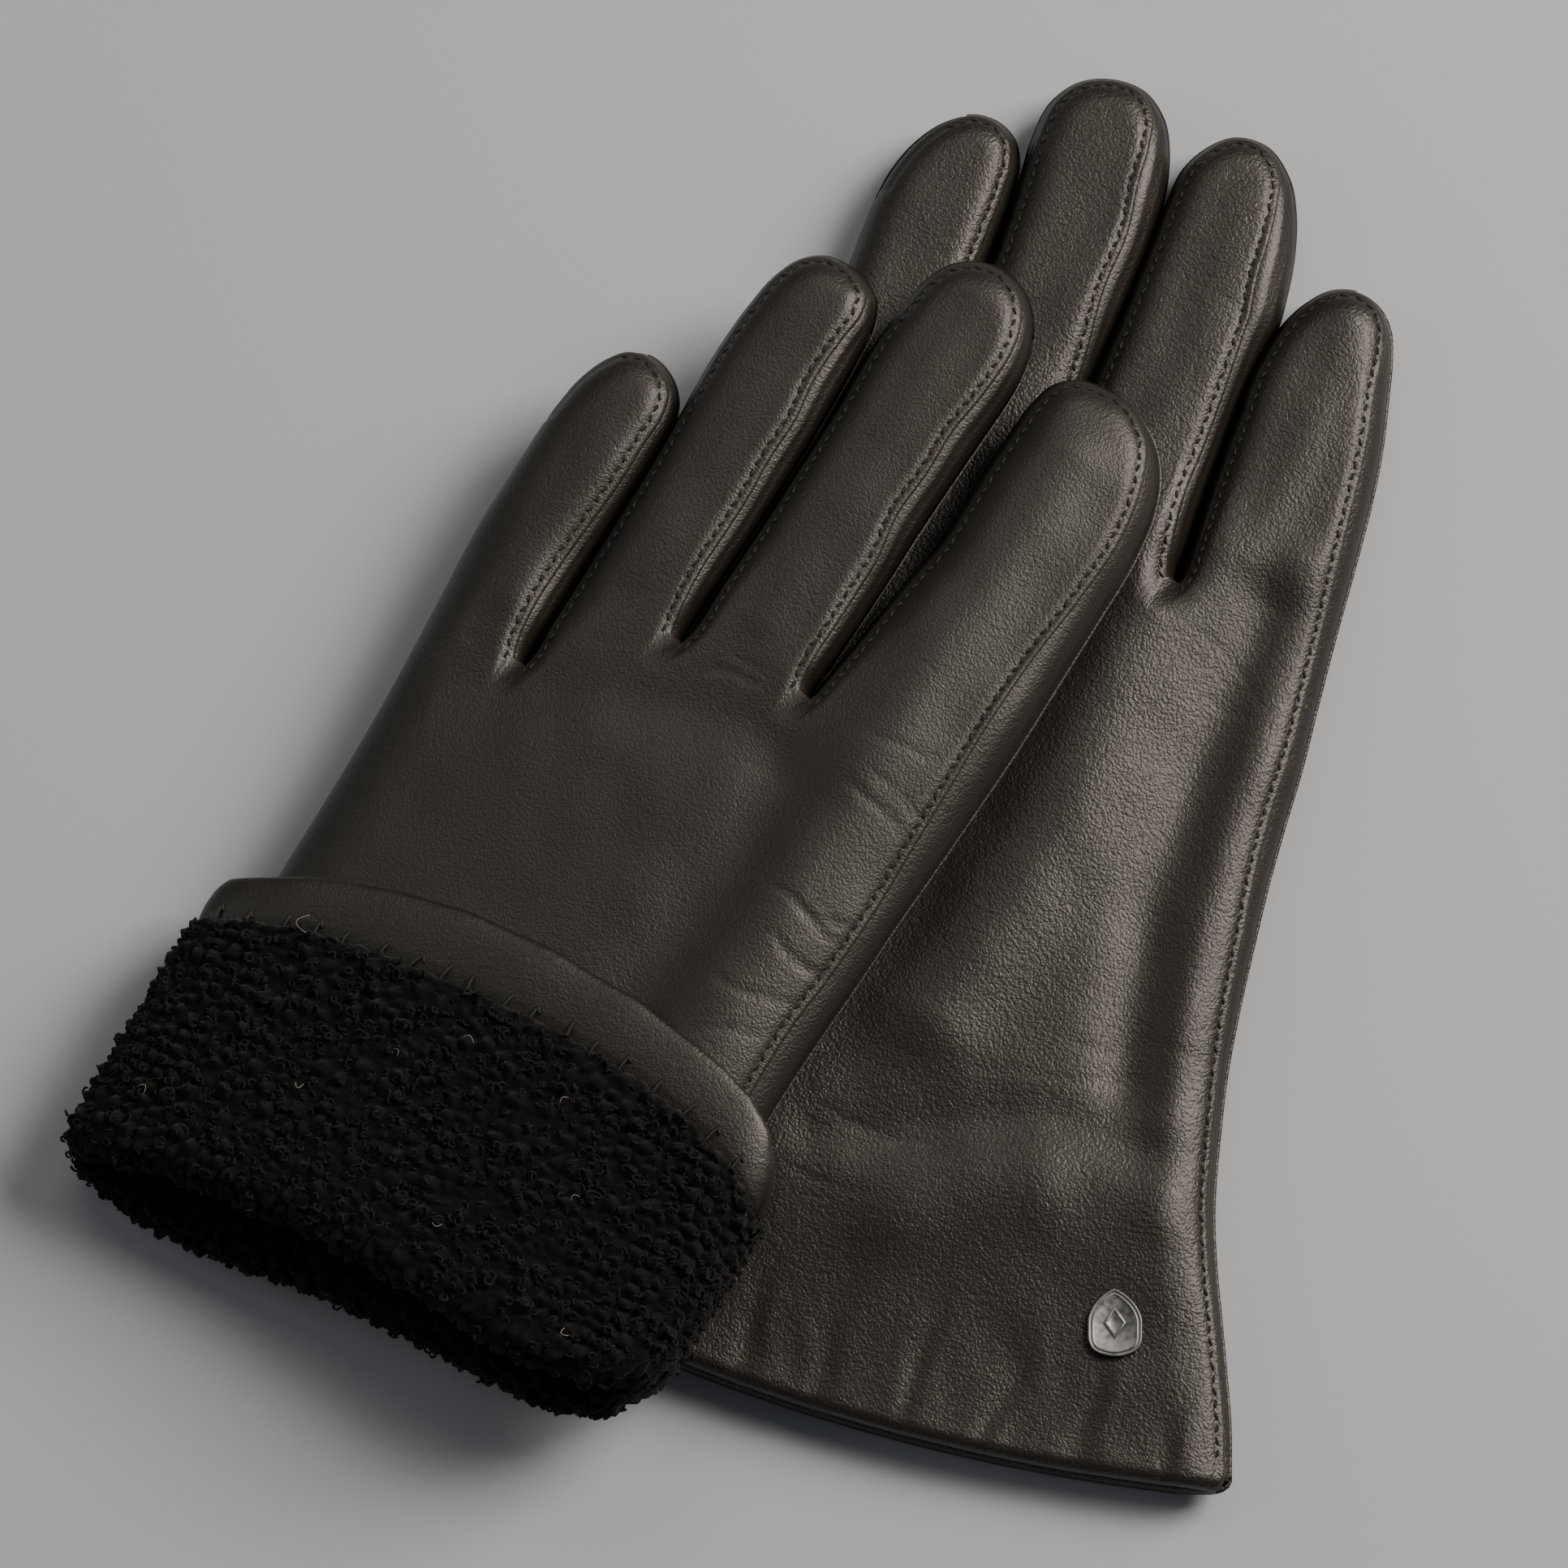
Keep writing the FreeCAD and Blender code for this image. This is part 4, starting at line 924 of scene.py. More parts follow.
def thread_material():
    """Twisted sewing thread."""
    colours = bpy.context.scene.glove_colours
    material, tree, skin, vector = new_material("thread")
    twist = add(tree, "ShaderNodeTexWave", in_1=2.2, in_2=1.5)
    tree.links.new(vector, twist.inputs["Vector"])
    dark, light = shades(colours.thread, 0.6, 1.8)
    tree.links.new(mix_colour(tree, twist.outputs["Fac"], dark, light), skin.inputs["Base Color"])
    raise_grain(tree, skin, twist.outputs["Fac"], 0.05)
    skin.inputs["Roughness"].default_value = 0.6
    return material


def metal_material(name, bright, rough):
    """Aged nickel with cloudy darker patches and a faint uneven bump."""
    colours = bpy.context.scene.glove_colours
    material, tree, skin, vector = new_material(name)
    cloud = add(tree, "ShaderNodeTexNoise", in_2=0.9, in_3=6.0)
    tree.links.new(vector, cloud.inputs["Vector"])
    dark, light = shades(colours.metal, 0.6 * bright, 0.9 * bright)
    tree.links.new(mix_colour(tree, cloud.outputs["Fac"], dark, light), skin.inputs["Base Color"])
    gloss = add(tree, "ShaderNodeMapRange", in_1=0.3, in_2=0.7, in_3=rough, in_4=rough + 0.16)
    tree.links.new(cloud.outputs["Fac"], gloss.inputs[0])
    tree.links.new(gloss.outputs[0], skin.inputs["Roughness"])
    raise_grain(tree, skin, cloud.outputs["Fac"], 0.03, 0.2)
    skin.inputs["Metallic"].default_value = 1.0
    return material


def fibre_material():
    """Pale stray fibre."""
    material, tree, skin, vector = new_material("stray_fibre")
    tone = add(tree, "ShaderNodeTexNoise", in_2=1.5)
    tree.links.new(vector, tone.inputs["Vector"])
    mix = mix_colour(tree, tone.outputs["Fac"], (0.16, 0.15, 0.14), (0.42, 0.4, 0.37))
    tree.links.new(mix, skin.inputs["Base Color"])
    skin.inputs["Roughness"].default_value = 0.7
    return material


FINISHES = {}


def finish(name):
    """A material by name, all of them made on the first call."""
    if not FINISHES:
        grain = grain_group()
        FINISHES.update(
            right_leather=leather_material("right_glove_leather", grain, 0.56, 0.45, 0.115, 0.39),
            left_leather=leather_material("left_glove_leather", grain, 0.5, 0.3, 0.085, 0.41),
            side_leather=leather_material("side_leather", grain, 0.5, 0.8, 0.07, 0.40, 0.85),
            hem_leather=leather_material("hem_leather", grain, 0.5, 1.0, 0.08, 0.43, 0.8),
            pile=pile_material(), thread=thread_material(), fibre=fibre_material(),
            badge_metal=metal_material("badge_metal", 0.8, 0.27),
            clinch_metal=metal_material("clinch_metal", 1.2, 0.4))
    return FINISHES[name]


# ---------------------------------------------------------------- pieces
def make_back(side, nodes):
    """Back panel with lapped edges along its seams."""
    glove = form(side)
    sizes = bpy.context.scene.glove_sizes
    parts = [(glove.tips[0] - 25, len(glove.path))]
    corners, faces, outer, lower, seams = panel(glove, True, glove.path[:, 2], sizes.field_step, parts)
    points, faces = close_panel(glove, True, corners, faces, outer, lower, HEM_ROLL if side == "right" else 0)
    mark = np.concatenate([seams, seams, np.full(len(points) - 2 * len(seams), FAR_FROM_SEAM)])
    piece = new_piece(side + "_back_panel", glove.lay(points), faces, finish(side + "_leather"),
                      mark)
    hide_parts(*nodes)
    go_with(piece, side)


def make_palm(side, nodes):
    """Palm panel that wraps up the outer side to the back's seam."""
    glove = form(side)
    sizes = bpy.context.scene.glove_sizes
    corners, faces, outer, lower, _ = panel(glove, False, glove.palm_inset, sizes.palm_step, glove.slits)
    roll = HEM_ROLL if side == "right" else 0
    points, faces = close_panel(glove, False, corners, faces, outer, lower, roll)
    first, last = glove.tips[-1] - 6, len(glove.path)
    lap = glove.path[:, 2] + UNDER_LAP
    fade = np.clip((np.arange(len(glove.path)) - first) / 10.0, 0.05, 1)
    columns = [(False, 1.2, 0.0), (False, 0.45, 0.0), (False, 0.1, 0.0), (True, 0.0, 0.0)]
    columns += [(True, lap * fade * s, 0.0) for s in (0.06, 0.16, 0.3, 0.46, 0.64, 0.82, 1.0)]
    side_grid = strip(glove, first, last, columns)
    wide = last - first
    base = len(points)
    flat = side_grid.reshape(-1, 3)
    side_faces = [tuple(reversed(f)) for f in grid_faces(len(columns), wide, base=base)]
    inner = strip(glove, first, last, [(b, np.maximum(i, 0.6), -0.5) for b, i, _ in columns])
    inner_faces = grid_faces(len(columns), wide, base=base + len(flat))
    points = np.vstack([points, flat, inner.reshape(-1, 3)])
    rim = []
    size = len(flat)
    for j in range(wide - 1):
        for row, flip in ((0, False), (len(columns) - 1, True)):
            a, b = base + row * wide + j, base + row * wide + j + 1
            quad = (a, b, b + size, a + size)
            rim.append(quad[::-1] if flip else quad)
    for i in range(len(columns) - 1):
        for column, flip in ((0, True), (wide - 1, False)):
            a, b = base + i * wide + column, base + (i + 1) * wide + column
            quad = (a, b, b + size, a + size)
            rim.append(quad[::-1] if flip else quad)
    piece = new_piece(side + "_palm_panel", glove.lay(points), faces + side_faces + inner_faces + rim,
                      finish(side + "_leather"), FAR_FROM_SEAM)
    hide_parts(*nodes)
    go_with(piece, side)


def make_fourchettes(side, names):
    """Folded side walls between the fingers, one piece for each gap."""
    glove = form(side)
    for (start, end), name in zip(glove.slits, names):
        seam = glove.path[:, 2]
        lap = seam + UNDER_LAP
        low = glove.palm_inset + UNDER_LAP
        fold = -0.32 * np.clip((seam - 1.6) / 1.2, 0, 1)
        columns = [(True, lap, -0.3), (True, seam + 0.5, -0.15), (True, seam, 0.0)]
        columns += [(True, seam * s, 0.16 * (1 - abs(2 * s - 1)) + fold * (s == 0.45))
                    for s in (0.86, 0.72, 0.58, 0.45, 0.32, 0.2, 0.1)]
        columns += [(True, 0.03, 0.12), (True, 0.55, -0.75), (False, 0.55, -0.75), (False, 0.03, 0.05)]
        columns += [(False, low * s, -0.1 * s) for s in (0.12, 0.35, 0.65, 1.0)]
        grid = strip(glove, start, end + 1, columns)
        wide = end + 1 - start
        outer = grid.reshape(-1, 3)
        faces = grid_faces(len(columns), wide)
        points, faces = thicken(outer, faces, len(columns), wide, 0.35)
        piece = new_piece(name + "_wall", glove.lay(points), faces, finish("side_leather"),
                          FAR_FROM_SEAM)
        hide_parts(name)
        go_with(piece, side)


def thicken(points, faces, tall, wide, wall):
    """Closed sheet from an open grid: the same grid again a wall's thickness further in."""
    grid = points.reshape(tall, wide, 3)
    normal = np.cross(np.gradient(grid, axis=1), np.gradient(grid, axis=0))
    normal /= np.maximum(np.linalg.norm(normal, axis=2), 1e-9)[..., None]
    inner = (grid - normal * wall).reshape(-1, 3)
    size = len(points)
    closed = list(faces) + [tuple(reversed([i + size for i in f])) for f in faces]
    border = [(0, j, 0, j + 1) for j in range(wide - 1)]
    border += [(i, wide - 1, i + 1, wide - 1) for i in range(tall - 1)]
    border += [(tall - 1, j + 1, tall - 1, j) for j in reversed(range(wide - 1))]
    border += [(i + 1, 0, i, 0) for i in reversed(range(tall - 1))]
    for i, j, k, m in border:
        a, b = i * wide + j, k * wide + m
        closed.append((b, a, a + size, b + size))
    return np.vstack([points, inner]), closed


def stitch_rows(glove, start, end):
    """Stitches along part of the back panel's seam."""
    sizes = bpy.context.scene.glove_sizes
    line = glove.line(glove.path[:, 2] + STITCH_SET_IN)[start:end]
    run = travelled(line)
    count = int(run[-1] / sizes.stitch_pitch)
    at = (np.arange(count) + 0.5) * run[-1] / count
    middle = np.column_stack([np.interp(at, run, line[:, k]) for k in (0, 1)])
    ahead = np.column_stack([np.interp(at + 0.3, run, line[:, k]) for k in (0, 1)])
    place, normal = glove.surface(middle, True, PANEL_LIP - 0.14)
    front, _ = glove.surface(ahead, True, PANEL_LIP - 0.14)
    rng = np.random.default_rng(start)
    shapes = []
    for i in range(count):
        along = front[i] - place[i]
        along /= max(np.linalg.norm(along), 1e-9)
        across = np.cross(normal[i], along)
        lean = 0.32 * (1 if i % 2 else -1) + rng.normal(0, 0.06)
        along = along + across * lean
        along /= np.linalg.norm(along)
        length = sizes.stitch_length * rng.uniform(0.88, 1.08)
        shapes.append(stitch_shape(place[i], along, normal[i], length, sizes.stitch_width))
    return shapes


def make_stitches(side, slit_name, slit_nodes, side_name, side_nodes):
    """Stitches along the finger gaps and along the outer seam."""
    glove = form(side)
    last = len(glove.path) - (4 if side == "right" else 60)
    for name, nodes, start, end in ((slit_name, slit_nodes, glove.tips[0] - 6, glove.tips[-1]),
                                    (side_name, side_nodes, glove.tips[-1], last)):
        points, faces = join_shapes(stitch_rows(glove, start, end))
        piece = new_piece(name, glove.lay(points), faces, finish("thread"))
        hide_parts(*nodes)
        go_with(piece, side)


def thumb(root, lean, span, radius):
    """Soft folded thumb that lies flat under the palm."""
    along = np.array([math.sin(math.radians(lean)), math.cos(math.radians(lean))])
    normal = np.array([along[1], -along[0]])
    turn = np.linspace(0, math.pi, 24)
    tip = root + along * span
    end = [tip + radius * (math.cos(a) * normal + math.sin(a) * along) for a in turn]
    back = [np.array(root) - radius * (math.cos(a) * normal + math.sin(a) * along) for a in turn]
    loop = np.array(end + back)
    levels = [(0.0, 0.0), (0.12, 0.45), (0.4, 0.78), (1.2, 0.95), (3.0, 1.0), (6.0, 1.0)]
    middle = loop.mean(0)
    rows = []
    for direction in (1, -1):
        some = []
        for inset, rise in levels:
            share = 1 - inset / radius
            core = np.clip((loop - root) @ along, 0, span)[:, None] * along + root
            flat = core + (loop - core) * share
            some.append(np.column_stack([flat, np.full(len(flat), 3.4 + direction * 2.75 * rise)]))
        rows.append(some)
    grid = np.array(rows[1][::-1] + rows[0][1:])
    tall, wide = grid.shape[:2]
    points = grid.reshape(-1, 3)
    faces = grid_faces(tall, wide, closed=True)
    low, high = len(points), len(points) + 1
    points = np.vstack([points, [*middle, 0.65], [*middle, 6.15]])
    for j in range(wide):
        k = (j + 1) % wide
        faces.append((low, k, j))
        faces.append((high, (tall - 1) * wide + j, (tall - 1) * wide + k))
    return points, faces


def make_thumb(side, nodes):
    """Thumb piece of one glove."""
    glove = form(side)
    root, lean = THUMBS[side]
    points, faces = thumb(np.array(root), lean, THUMB_SPAN, THUMB_RADIUS)
    piece = new_piece(side + "_thumb", glove.lay(points), faces, finish(side + "_leather"),
                      FAR_FROM_SEAM)
    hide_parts(*nodes)
    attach(piece, "right_glove" if side == "right" else "left_hand")


def ring_piece(rows):
    """Points and faces of a sleeve made of rows around it, the last joined to the first."""
    grid = np.array(rows)
    tall, wide = grid.shape[:2]
    faces = grid_faces(tall, wide, closed=True)
    base = (tall - 1) * wide
    faces += [(base + j, base + (j + 1) % wide, (j + 1) % wide, j) for j in range(wide)]
    return grid.reshape(-1, 3), faces


def make_hem_facing():
    """Facing inside the right glove's hem."""
    glove = form("right")
    unit = unit_ring(220, 0.5, 54, 5)
    outer = [sleeve_row(glove, unit, 5.0, y, 4.2) for y in (-4.4, -3.6, 0, 4, 8.5)]
    inner = [sleeve_row(glove, unit, 5.7, y, 4.6) for y in (8.5, 4, 0, -3.6, -4.4)]
    points, faces = ring_piece(outer[::-1] + inner[::-1])
    piece = new_piece("right_hem_facing_leather", glove.lay(points), faces, finish("hem_leather"),
                      FAR_FROM_SEAM)
    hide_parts("right_hem_facing")
    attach(piece, "right_glove")


def make_lining(side, from_y, to_y, nodes):
    """Short-pile lining sleeve inside one glove's hand."""
    glove = form(side)
    unit = unit_ring(200, 0.5, 50, 5)
    along = np.arange(from_y, to_y, 1.6)
    outer = np.array([sleeve_row(glove, unit, 2.6, y, 2.3) for y in along])
    inner = np.array([sleeve_row(glove, unit, 4.4, y, 3.9) for y in along])
    heights = clumps(inner.reshape(-1, 3), 2.2, 11)
    inner[:, :, 2] += (np.sign(MID - inner[:, :, 2]) * heights.reshape(inner.shape[:2]) * 0.6)
    points, faces = ring_piece(list(inner) + list(outer[::-1]))
    # no seam attribute here, so the pile material reads 0 and gives the lining its darkest painted shade
    piece = new_piece(side + "_lining", glove.lay(points), faces, finish("pile"))
    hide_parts(*nodes)
    go_with(piece, side)


def make_cuff_leather():
    """Turned-back leather of the cuff, under the pile."""
    unit = unit_ring(220)
    sheets = []
    for half_width, half_height in ((53.6, 8.7), (52.8, 8.0)):
        top = cuff_row(unit, half_width, half_height, BAND_TOP, BAND_TOP, 0)
        fold = cuff_row(unit, half_width, half_height, FOLD_TOP, FOLD_FOOT, 7.5)
        sheets.append([top * (1 - s) + fold * s for s in np.linspace(0.03, 1, 8)])
    outer, inner = sheets
    points, faces = ring_piece(outer + inner[::-1])
    piece = new_piece("left_cuff_turned_leather", lay_left(points), faces, finish("left_leather"),
                      FAR_FROM_SEAM)
    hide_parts("left_cuff_leather")
    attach(piece, "left_hand")


def make_cuff_band():
    """Hem facing of the turned cuff: a soft band with a rolled upper edge."""
    unit = unit_ring(420)
    rows = []
    for share in np.linspace(-0.35, 0.84, 16):
        swell = 0.35 * math.sin(math.pi * min(max(share, 0), 1)) - 0.25 * (share < 0.05)
        foot = cuff_row(unit, 55.4 + swell, 10.0 + swell, BAND_FOOT, BAND_FOOT, 0)
        top = cuff_row(unit, 55.4 + swell, 10.0 + swell, BAND_TOP, BAND_TOP, 0)
        rows.append(foot * (1 - share) + top * share)
    roll = BAND_ROLL
    for angle in np.radians(np.arange(15, 181, 15)):
        drop = roll * (1 - math.cos(angle))
        row = cuff_row(unit, 55.5 - drop, 10.05 - drop, BAND_TOP, BAND_TOP, -roll + roll * math.sin(angle))
        rows.append(row)
    for back in (-3.5, -8, -13):
        rows.append(cuff_row(unit, 55.5 - 2 * roll, 10.05 - 2 * roll, BAND_TOP, BAND_TOP, back))
    grid = np.array(rows)
    normal = -grid_normals(grid)
    uneven = 0.22 * ripple(grid[..., :2].reshape(-1, 2) * np.array([1, 0.35]), 21, 13)
    grid += normal * uneven.reshape(grid.shape[:2])[..., None]
    points, faces = ring_piece(list(grid))
    faces = [tuple(reversed(face)) for face in faces]
    piece = new_piece("left_cuff_band", lay_left(points), faces, finish("hem_leather"),
                      FAR_FROM_SEAM)
    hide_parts("left_cuff_hem_facing")
    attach(piece, "left_hand")


def pile_grid():
    """Smooth outer form of the pile: outside of the cuff, round its fold and into its mouth."""
    unit = unit_ring(500)
    wide, tall, thick = PILE_HALF_WIDTH, PILE_HALF_HEIGHT, PILE_THICKNESS
    rows = []
    for share in np.linspace(0, 1, PILE_ROWS):
        rise = arch(np.array(share * 50), 2.2)[()]
        drop = 2.2 * (1 - float(rise))
        foot = cuff_row(unit, wide - drop, tall - drop, BAND_FOOT, BAND_FOOT, 0.6)
        fold = cuff_row(unit, wide, tall, FOLD_TOP, FOLD_FOOT, thick)
        rows.append(foot * (1 - share) + fold * share)
    for angle in np.radians(np.arange(10, 181, 10)):
        drop = thick * 0.93 * (1 - math.cos(angle))
        rows.append(cuff_row(unit, wide - drop, tall - drop, FOLD_TOP, FOLD_FOOT,
                             thick * (1 - math.sin(angle))))
    for inside_reach in np.concatenate([np.arange(0.8, 12, 0.8), np.arange(12, 38, 2.6)]):
        drop = thick * 1.86
        rows.append(cuff_row(unit, wide - drop, tall - drop, FOLD_TOP, FOLD_FOOT, thick + inside_reach))
    return np.array(rows)


def make_pile():
    """Curly pile of the turned cuff: a clumped body with yarn curls over it."""
    sizes = bpy.context.scene.pile_sizes
    grid = pile_grid()
    normal = grid_normals(grid)
    flat = grid.reshape(-1, 3)
    height = clumps(flat, sizes.clump, sizes.seed)
    fine = clumps(flat, sizes.clump * 0.42, sizes.seed + 5)
    push = (height - 0.55) * sizes.clump_height + (fine - 0.5) * 0.5
    calm = np.clip(np.arange(len(grid)) / 2.5, 0.45, 1)[:, None]
    body = grid + normal * push.reshape(grid.shape[:2])[..., None] * calm[..., None]
    back = [grid[i] - normal[i] * 1.9 for i in range(len(grid) - 1, -1, -6)]
    points, faces = ring_piece(list(body) + back)
    # clump height for the pile's painted shade: low between clumps, zero on the back rows, which get the
    # darkest painted shade
    depth = np.concatenate([height * 0.75 + fine * 0.25, np.zeros(len(points) - len(flat))])
    piece = new_piece("left_cuff_pile_body", lay_left(points), faces, finish("pile"), depth)
    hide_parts("left_cuff_pile")
    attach(piece, "left_hand")
    make_curls(body, normal, sizes)


def make_curls(body, normal, sizes):
    """Small loops of yarn scattered over the pile, split into its upper and its lower side."""
    rng = np.random.default_rng(sizes.seed)
    shapes = {"left_cuff_curls_upper": [], "left_cuff_curls_lower": []}
    outer_rows = PILE_ROWS + 16
    made = 0
    while made < sizes.curls:
        i, j = int(rng.integers(1, outer_rows)), int(rng.integers(0, body.shape[1]))
        n = normal[i, j]
        if n[2] < -0.3 and i < PILE_ROWS - 4 and rng.random() < 0.7:
            made += 1
            continue
        side = np.cross(n, rng.normal(size=3))
        side /= np.linalg.norm(side)
        other = np.cross(n, side)
        rise = other * rng.uniform(0.45, 0.95) + n * rng.uniform(0.35, 0.9)
        radius = sizes.curl_radius * rng.uniform(0.7, 1.25)
        sweep = np.linspace(0, math.radians(rng.uniform(200, 330)), 7)
        centre = body[i, j] + n * rng.uniform(-0.25, 0.3)
        line = centre + radius * (np.outer(np.cos(sweep), side) + np.outer(np.sin(sweep), rise))
        line += np.outer(np.linspace(-0.3, 0.3, 7), n)
        width = sizes.curl_width * 0.5 * rng.uniform(0.8, 1.15)
        taper = width * np.array([0.55, 0.9, 1, 1, 1, 0.9, 0.5])
        name = "left_cuff_curls_upper" if n[2] > 0 else "left_cuff_curls_lower"
        shapes[name].append(tube(line, taper, 4))
        made += 1
    for name, some in shapes.items():
        points, faces = join_shapes(some)
        # 0.95 gives every curl the lit, undarkened end of the pile's painted shade
        piece = new_piece(name, lay_left(points), faces, finish("pile"),
                          0.95)
        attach(piece, "left_hand")


def make_overcast():
    """Whip stitches from the pile's edge up onto the band."""
    rng = np.random.default_rng(31)
    shapes = []
    for x in np.arange(-51, 54, WHIP_PITCH):
        x = x + rng.uniform(-0.8, 0.8)
        foot = read_line(x, BAND_FOOT)
        share = abs((x - CUFF_CENTRE) / 55.6)
        tall = 10.25 * (max(1 - share ** (1 / CUFF_POWER * 2), 0.0)) ** (CUFF_POWER / 2)
        lean, reach = rng.uniform(-0.6, 1.3), rng.uniform(2.3, 3.5)
        t = np.linspace(0, 1, 6)
        line = np.column_stack([x + lean * t, foot - 0.6 + (reach + 0.6) * t,
                                CUFF_MID + tall + 0.12 + 0.25 * np.sin(math.pi * t) - 0.3 * t**4])
        shapes.append(tube(line, WHIP_RADIUS, 6))
        t = np.linspace(0, 1, 5)
        hook = np.column_stack([x + lean + 0.9 * t, foot + reach - 1.1 * t,
                                np.full(5, CUFF_MID + tall + 0.1)])
        if rng.random() < 0.5:
            shapes.append(tube(hook, HOOK_RADIUS, 6))
    points, faces = join_shapes(shapes)
    piece = new_piece("left_cuff_whip_stitches", lay_left(points), faces, finish("thread"))
    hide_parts("left_cuff_overcast_stitches")
    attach(piece, "left_hand")


def make_fibres():
    """A few pale stray fibres caught on the cuff and the back."""
    rng = np.random.default_rng(5)
    spots = [(-35.7, 49.6, 20.4, 3.2), (1.2, 46, 20.6, 2.2), (13.1, 14, 20.6, 1.6), (55, 43, 14, 2.4),
             (-20, 24, 20.6, 1.4), (30, 30, 20.5, 1.6), (-44, 12, 20.2, 1.8), (40, 8, 20.3, 1.5),
             (-8, 38, 20.6, 1.5), (20, 44, 20.5, 1.7)]
    shapes = []
    for x, y, z, size in spots:
        turn, bow = rng.uniform(0, math.tau), rng.uniform(0.5, 1.4)
        t = np.linspace(-1, 1, 9)
        line = np.column_stack([x + size * 0.5 * (t * math.cos(turn) - bow * t**2 * math.sin(turn)),
                                y + size * 0.5 * (t * math.sin(turn) + bow * t**2 * math.cos(turn)),
                                z + 0.5 * np.cos(t * 1.6)])
        shapes.append(tube(line, FIBRE_RADIUS, 5))
    points, faces = join_shapes(shapes)
    piece = new_piece("left_cuff_stray_fibres", lay_left(points), faces, finish("fibre"))
    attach(piece, "left_hand")


# ---------------------------------------------------------------- badge, modelled with operators
def shield(count, half, high):
    """Outline of a pointed-arch shield, counter-clockwise from its point."""
    left = [(-half * x, high * y) for x, y in (
        (0.2, 0.93), (0.47, 0.77), (0.76, 0.52), (0.97, 0.18), (1, -0.2), (0.95, -0.62), (0.84, -0.78),
        (0.5, -0.93), (0, -1))]
    rows = [(0, high)] + left + [(-x, y) for x, y in left[-2::-1]] + [(0, high)]
    path = smooth_path([(x, y, 0) for x, y in rows], 0.2)
    run = np.linspace(0, len(path) - 1, count + 1)[:-1]
    return list(zip(*(np.interp(run, range(len(path)), path[:, k]) for k in (0, 1))))


def operator_plate(outline, steps, bevel):
    """Flat plate raised, inset and pressed step by step, its edges bevelled."""
    bpy.ops.object.select_all(action="DESELECT")
    bpy.ops.mesh.primitive_circle_add(vertices=len(outline), radius=1, fill_type="NGON")
    plate = bpy.context.object
    for vertex, (x, y) in zip(plate.data.vertices, outline):
        vertex.co = (x, y, 0)
    bpy.ops.object.mode_set(mode="EDIT")
    bpy.ops.mesh.select_all(action="SELECT")
    for kind, amount in steps:
        if kind == "raise":
            bpy.ops.mesh.extrude_region_move(TRANSFORM_OT_translate={"value": (0, 0, amount)})
        else:
            bpy.ops.mesh.inset(thickness=amount, use_boundary=True)
    bpy.ops.object.mode_set(mode="OBJECT")
    soften = plate.modifiers.new("edges", "BEVEL")
    soften.width = bevel
    soften.segments = 3
    soften.limit_method = "ANGLE"
    soften.angle_limit = math.radians(40)
    bpy.ops.object.modifier_apply(modifier="edges")
    bpy.ops.object.mode_set(mode="EDIT")
    bpy.ops.mesh.select_all(action="SELECT")
    bpy.ops.mesh.normals_make_consistent(inside=False)
    bpy.ops.object.mode_set(mode="OBJECT")
    bpy.ops.object.shade_smooth_by_angle(angle=math.radians(35))
    return plate


def place_flat(plate, glove, spot, height):
    """Turn a plate upright in the frame and set it at a spot on the glove."""
    points = np.array([v.co for v in plate.data.vertices])
    x, y = turned(points[:, 0], points[:, 1], -RIGHT_TURN)
    placed = glove.lay(np.column_stack([x + spot[0], y + spot[1], points[:, 2] + height]))
    plate.data.vertices.foreach_set("co", placed.astype(np.float32).ravel())
    plate.data.update()


def finish_badge_part(plate, name, metal, node):
    """Name, finish and body of one metal part."""
    plate.name = name
    plate.data.materials.clear()
    plate.data.materials.append(finish(metal))
    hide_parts(node)
    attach(plate, "right_glove")


def make_badge():
    """Aged nickel shield with a double rim and a plain lozenge."""
    glove = form("right")
    steps = [("raise", 1.0), ("inset", 0.34), ("raise", -0.3), ("inset", 0.3), ("raise", 0.16),
             ("inset", 0.3), ("raise", -0.18)]
    plate = operator_plate(shield(72, 4.65, 5.95), steps, 0.1)
    diamond = [(0, 2.9), (-1.95, 0), (0, -2.9), (1.95, 0)]
    motif = operator_plate(diamond, [("raise", 0.95), ("inset", 0.5), ("raise", -0.22)], 0.1)
    bpy.ops.object.select_all(action="DESELECT")
    motif.select_set(True)
    plate.select_set(True)
    bpy.context.view_layer.objects.active = plate
    bpy.ops.object.join()
    seat, _ = glove.surface(np.array([BADGE_SPOT]), True, PANEL_LIP)
    place_flat(plate, glove, BADGE_SPOT, seat[0, 2] + 0.05)
    finish_badge_part(plate, "right_badge", "badge_metal", "badge_plate")
    corners = [(-4.1, -3.9), (4.1, -3.9), (4.1, 3.9), (-4.1, 3.9)]
    clinch = operator_plate(corners, [("raise", 0.4), ("inset", 0.5), ("raise", -0.08)], 0.12)
    place_flat(clinch, glove, BADGE_SPOT, seat[0, 2] - 2.1)
    finish_badge_part(clinch, "right_badge_clinch", "clinch_metal", "badge_clinch_plate")


# ---------------------------------------------------------------- stage
def soft_light(name, place, size, power, colour):
    """Square soft light that faces the gloves."""
    lamp = bpy.data.lights.new(name, "AREA")
    lamp.shape = "RECTANGLE"
    lamp.size, lamp.size_y = size
    lamp.energy = power
    lamp.color = colour
    holder = bpy.data.objects.new(name, lamp)
    bpy.context.scene.collection.objects.link(holder)
    holder.location = place
    holder.rotation_euler = (Vector((0, 0, 0)) - Vector(place)).to_track_quat("-Z", "Y").to_euler()


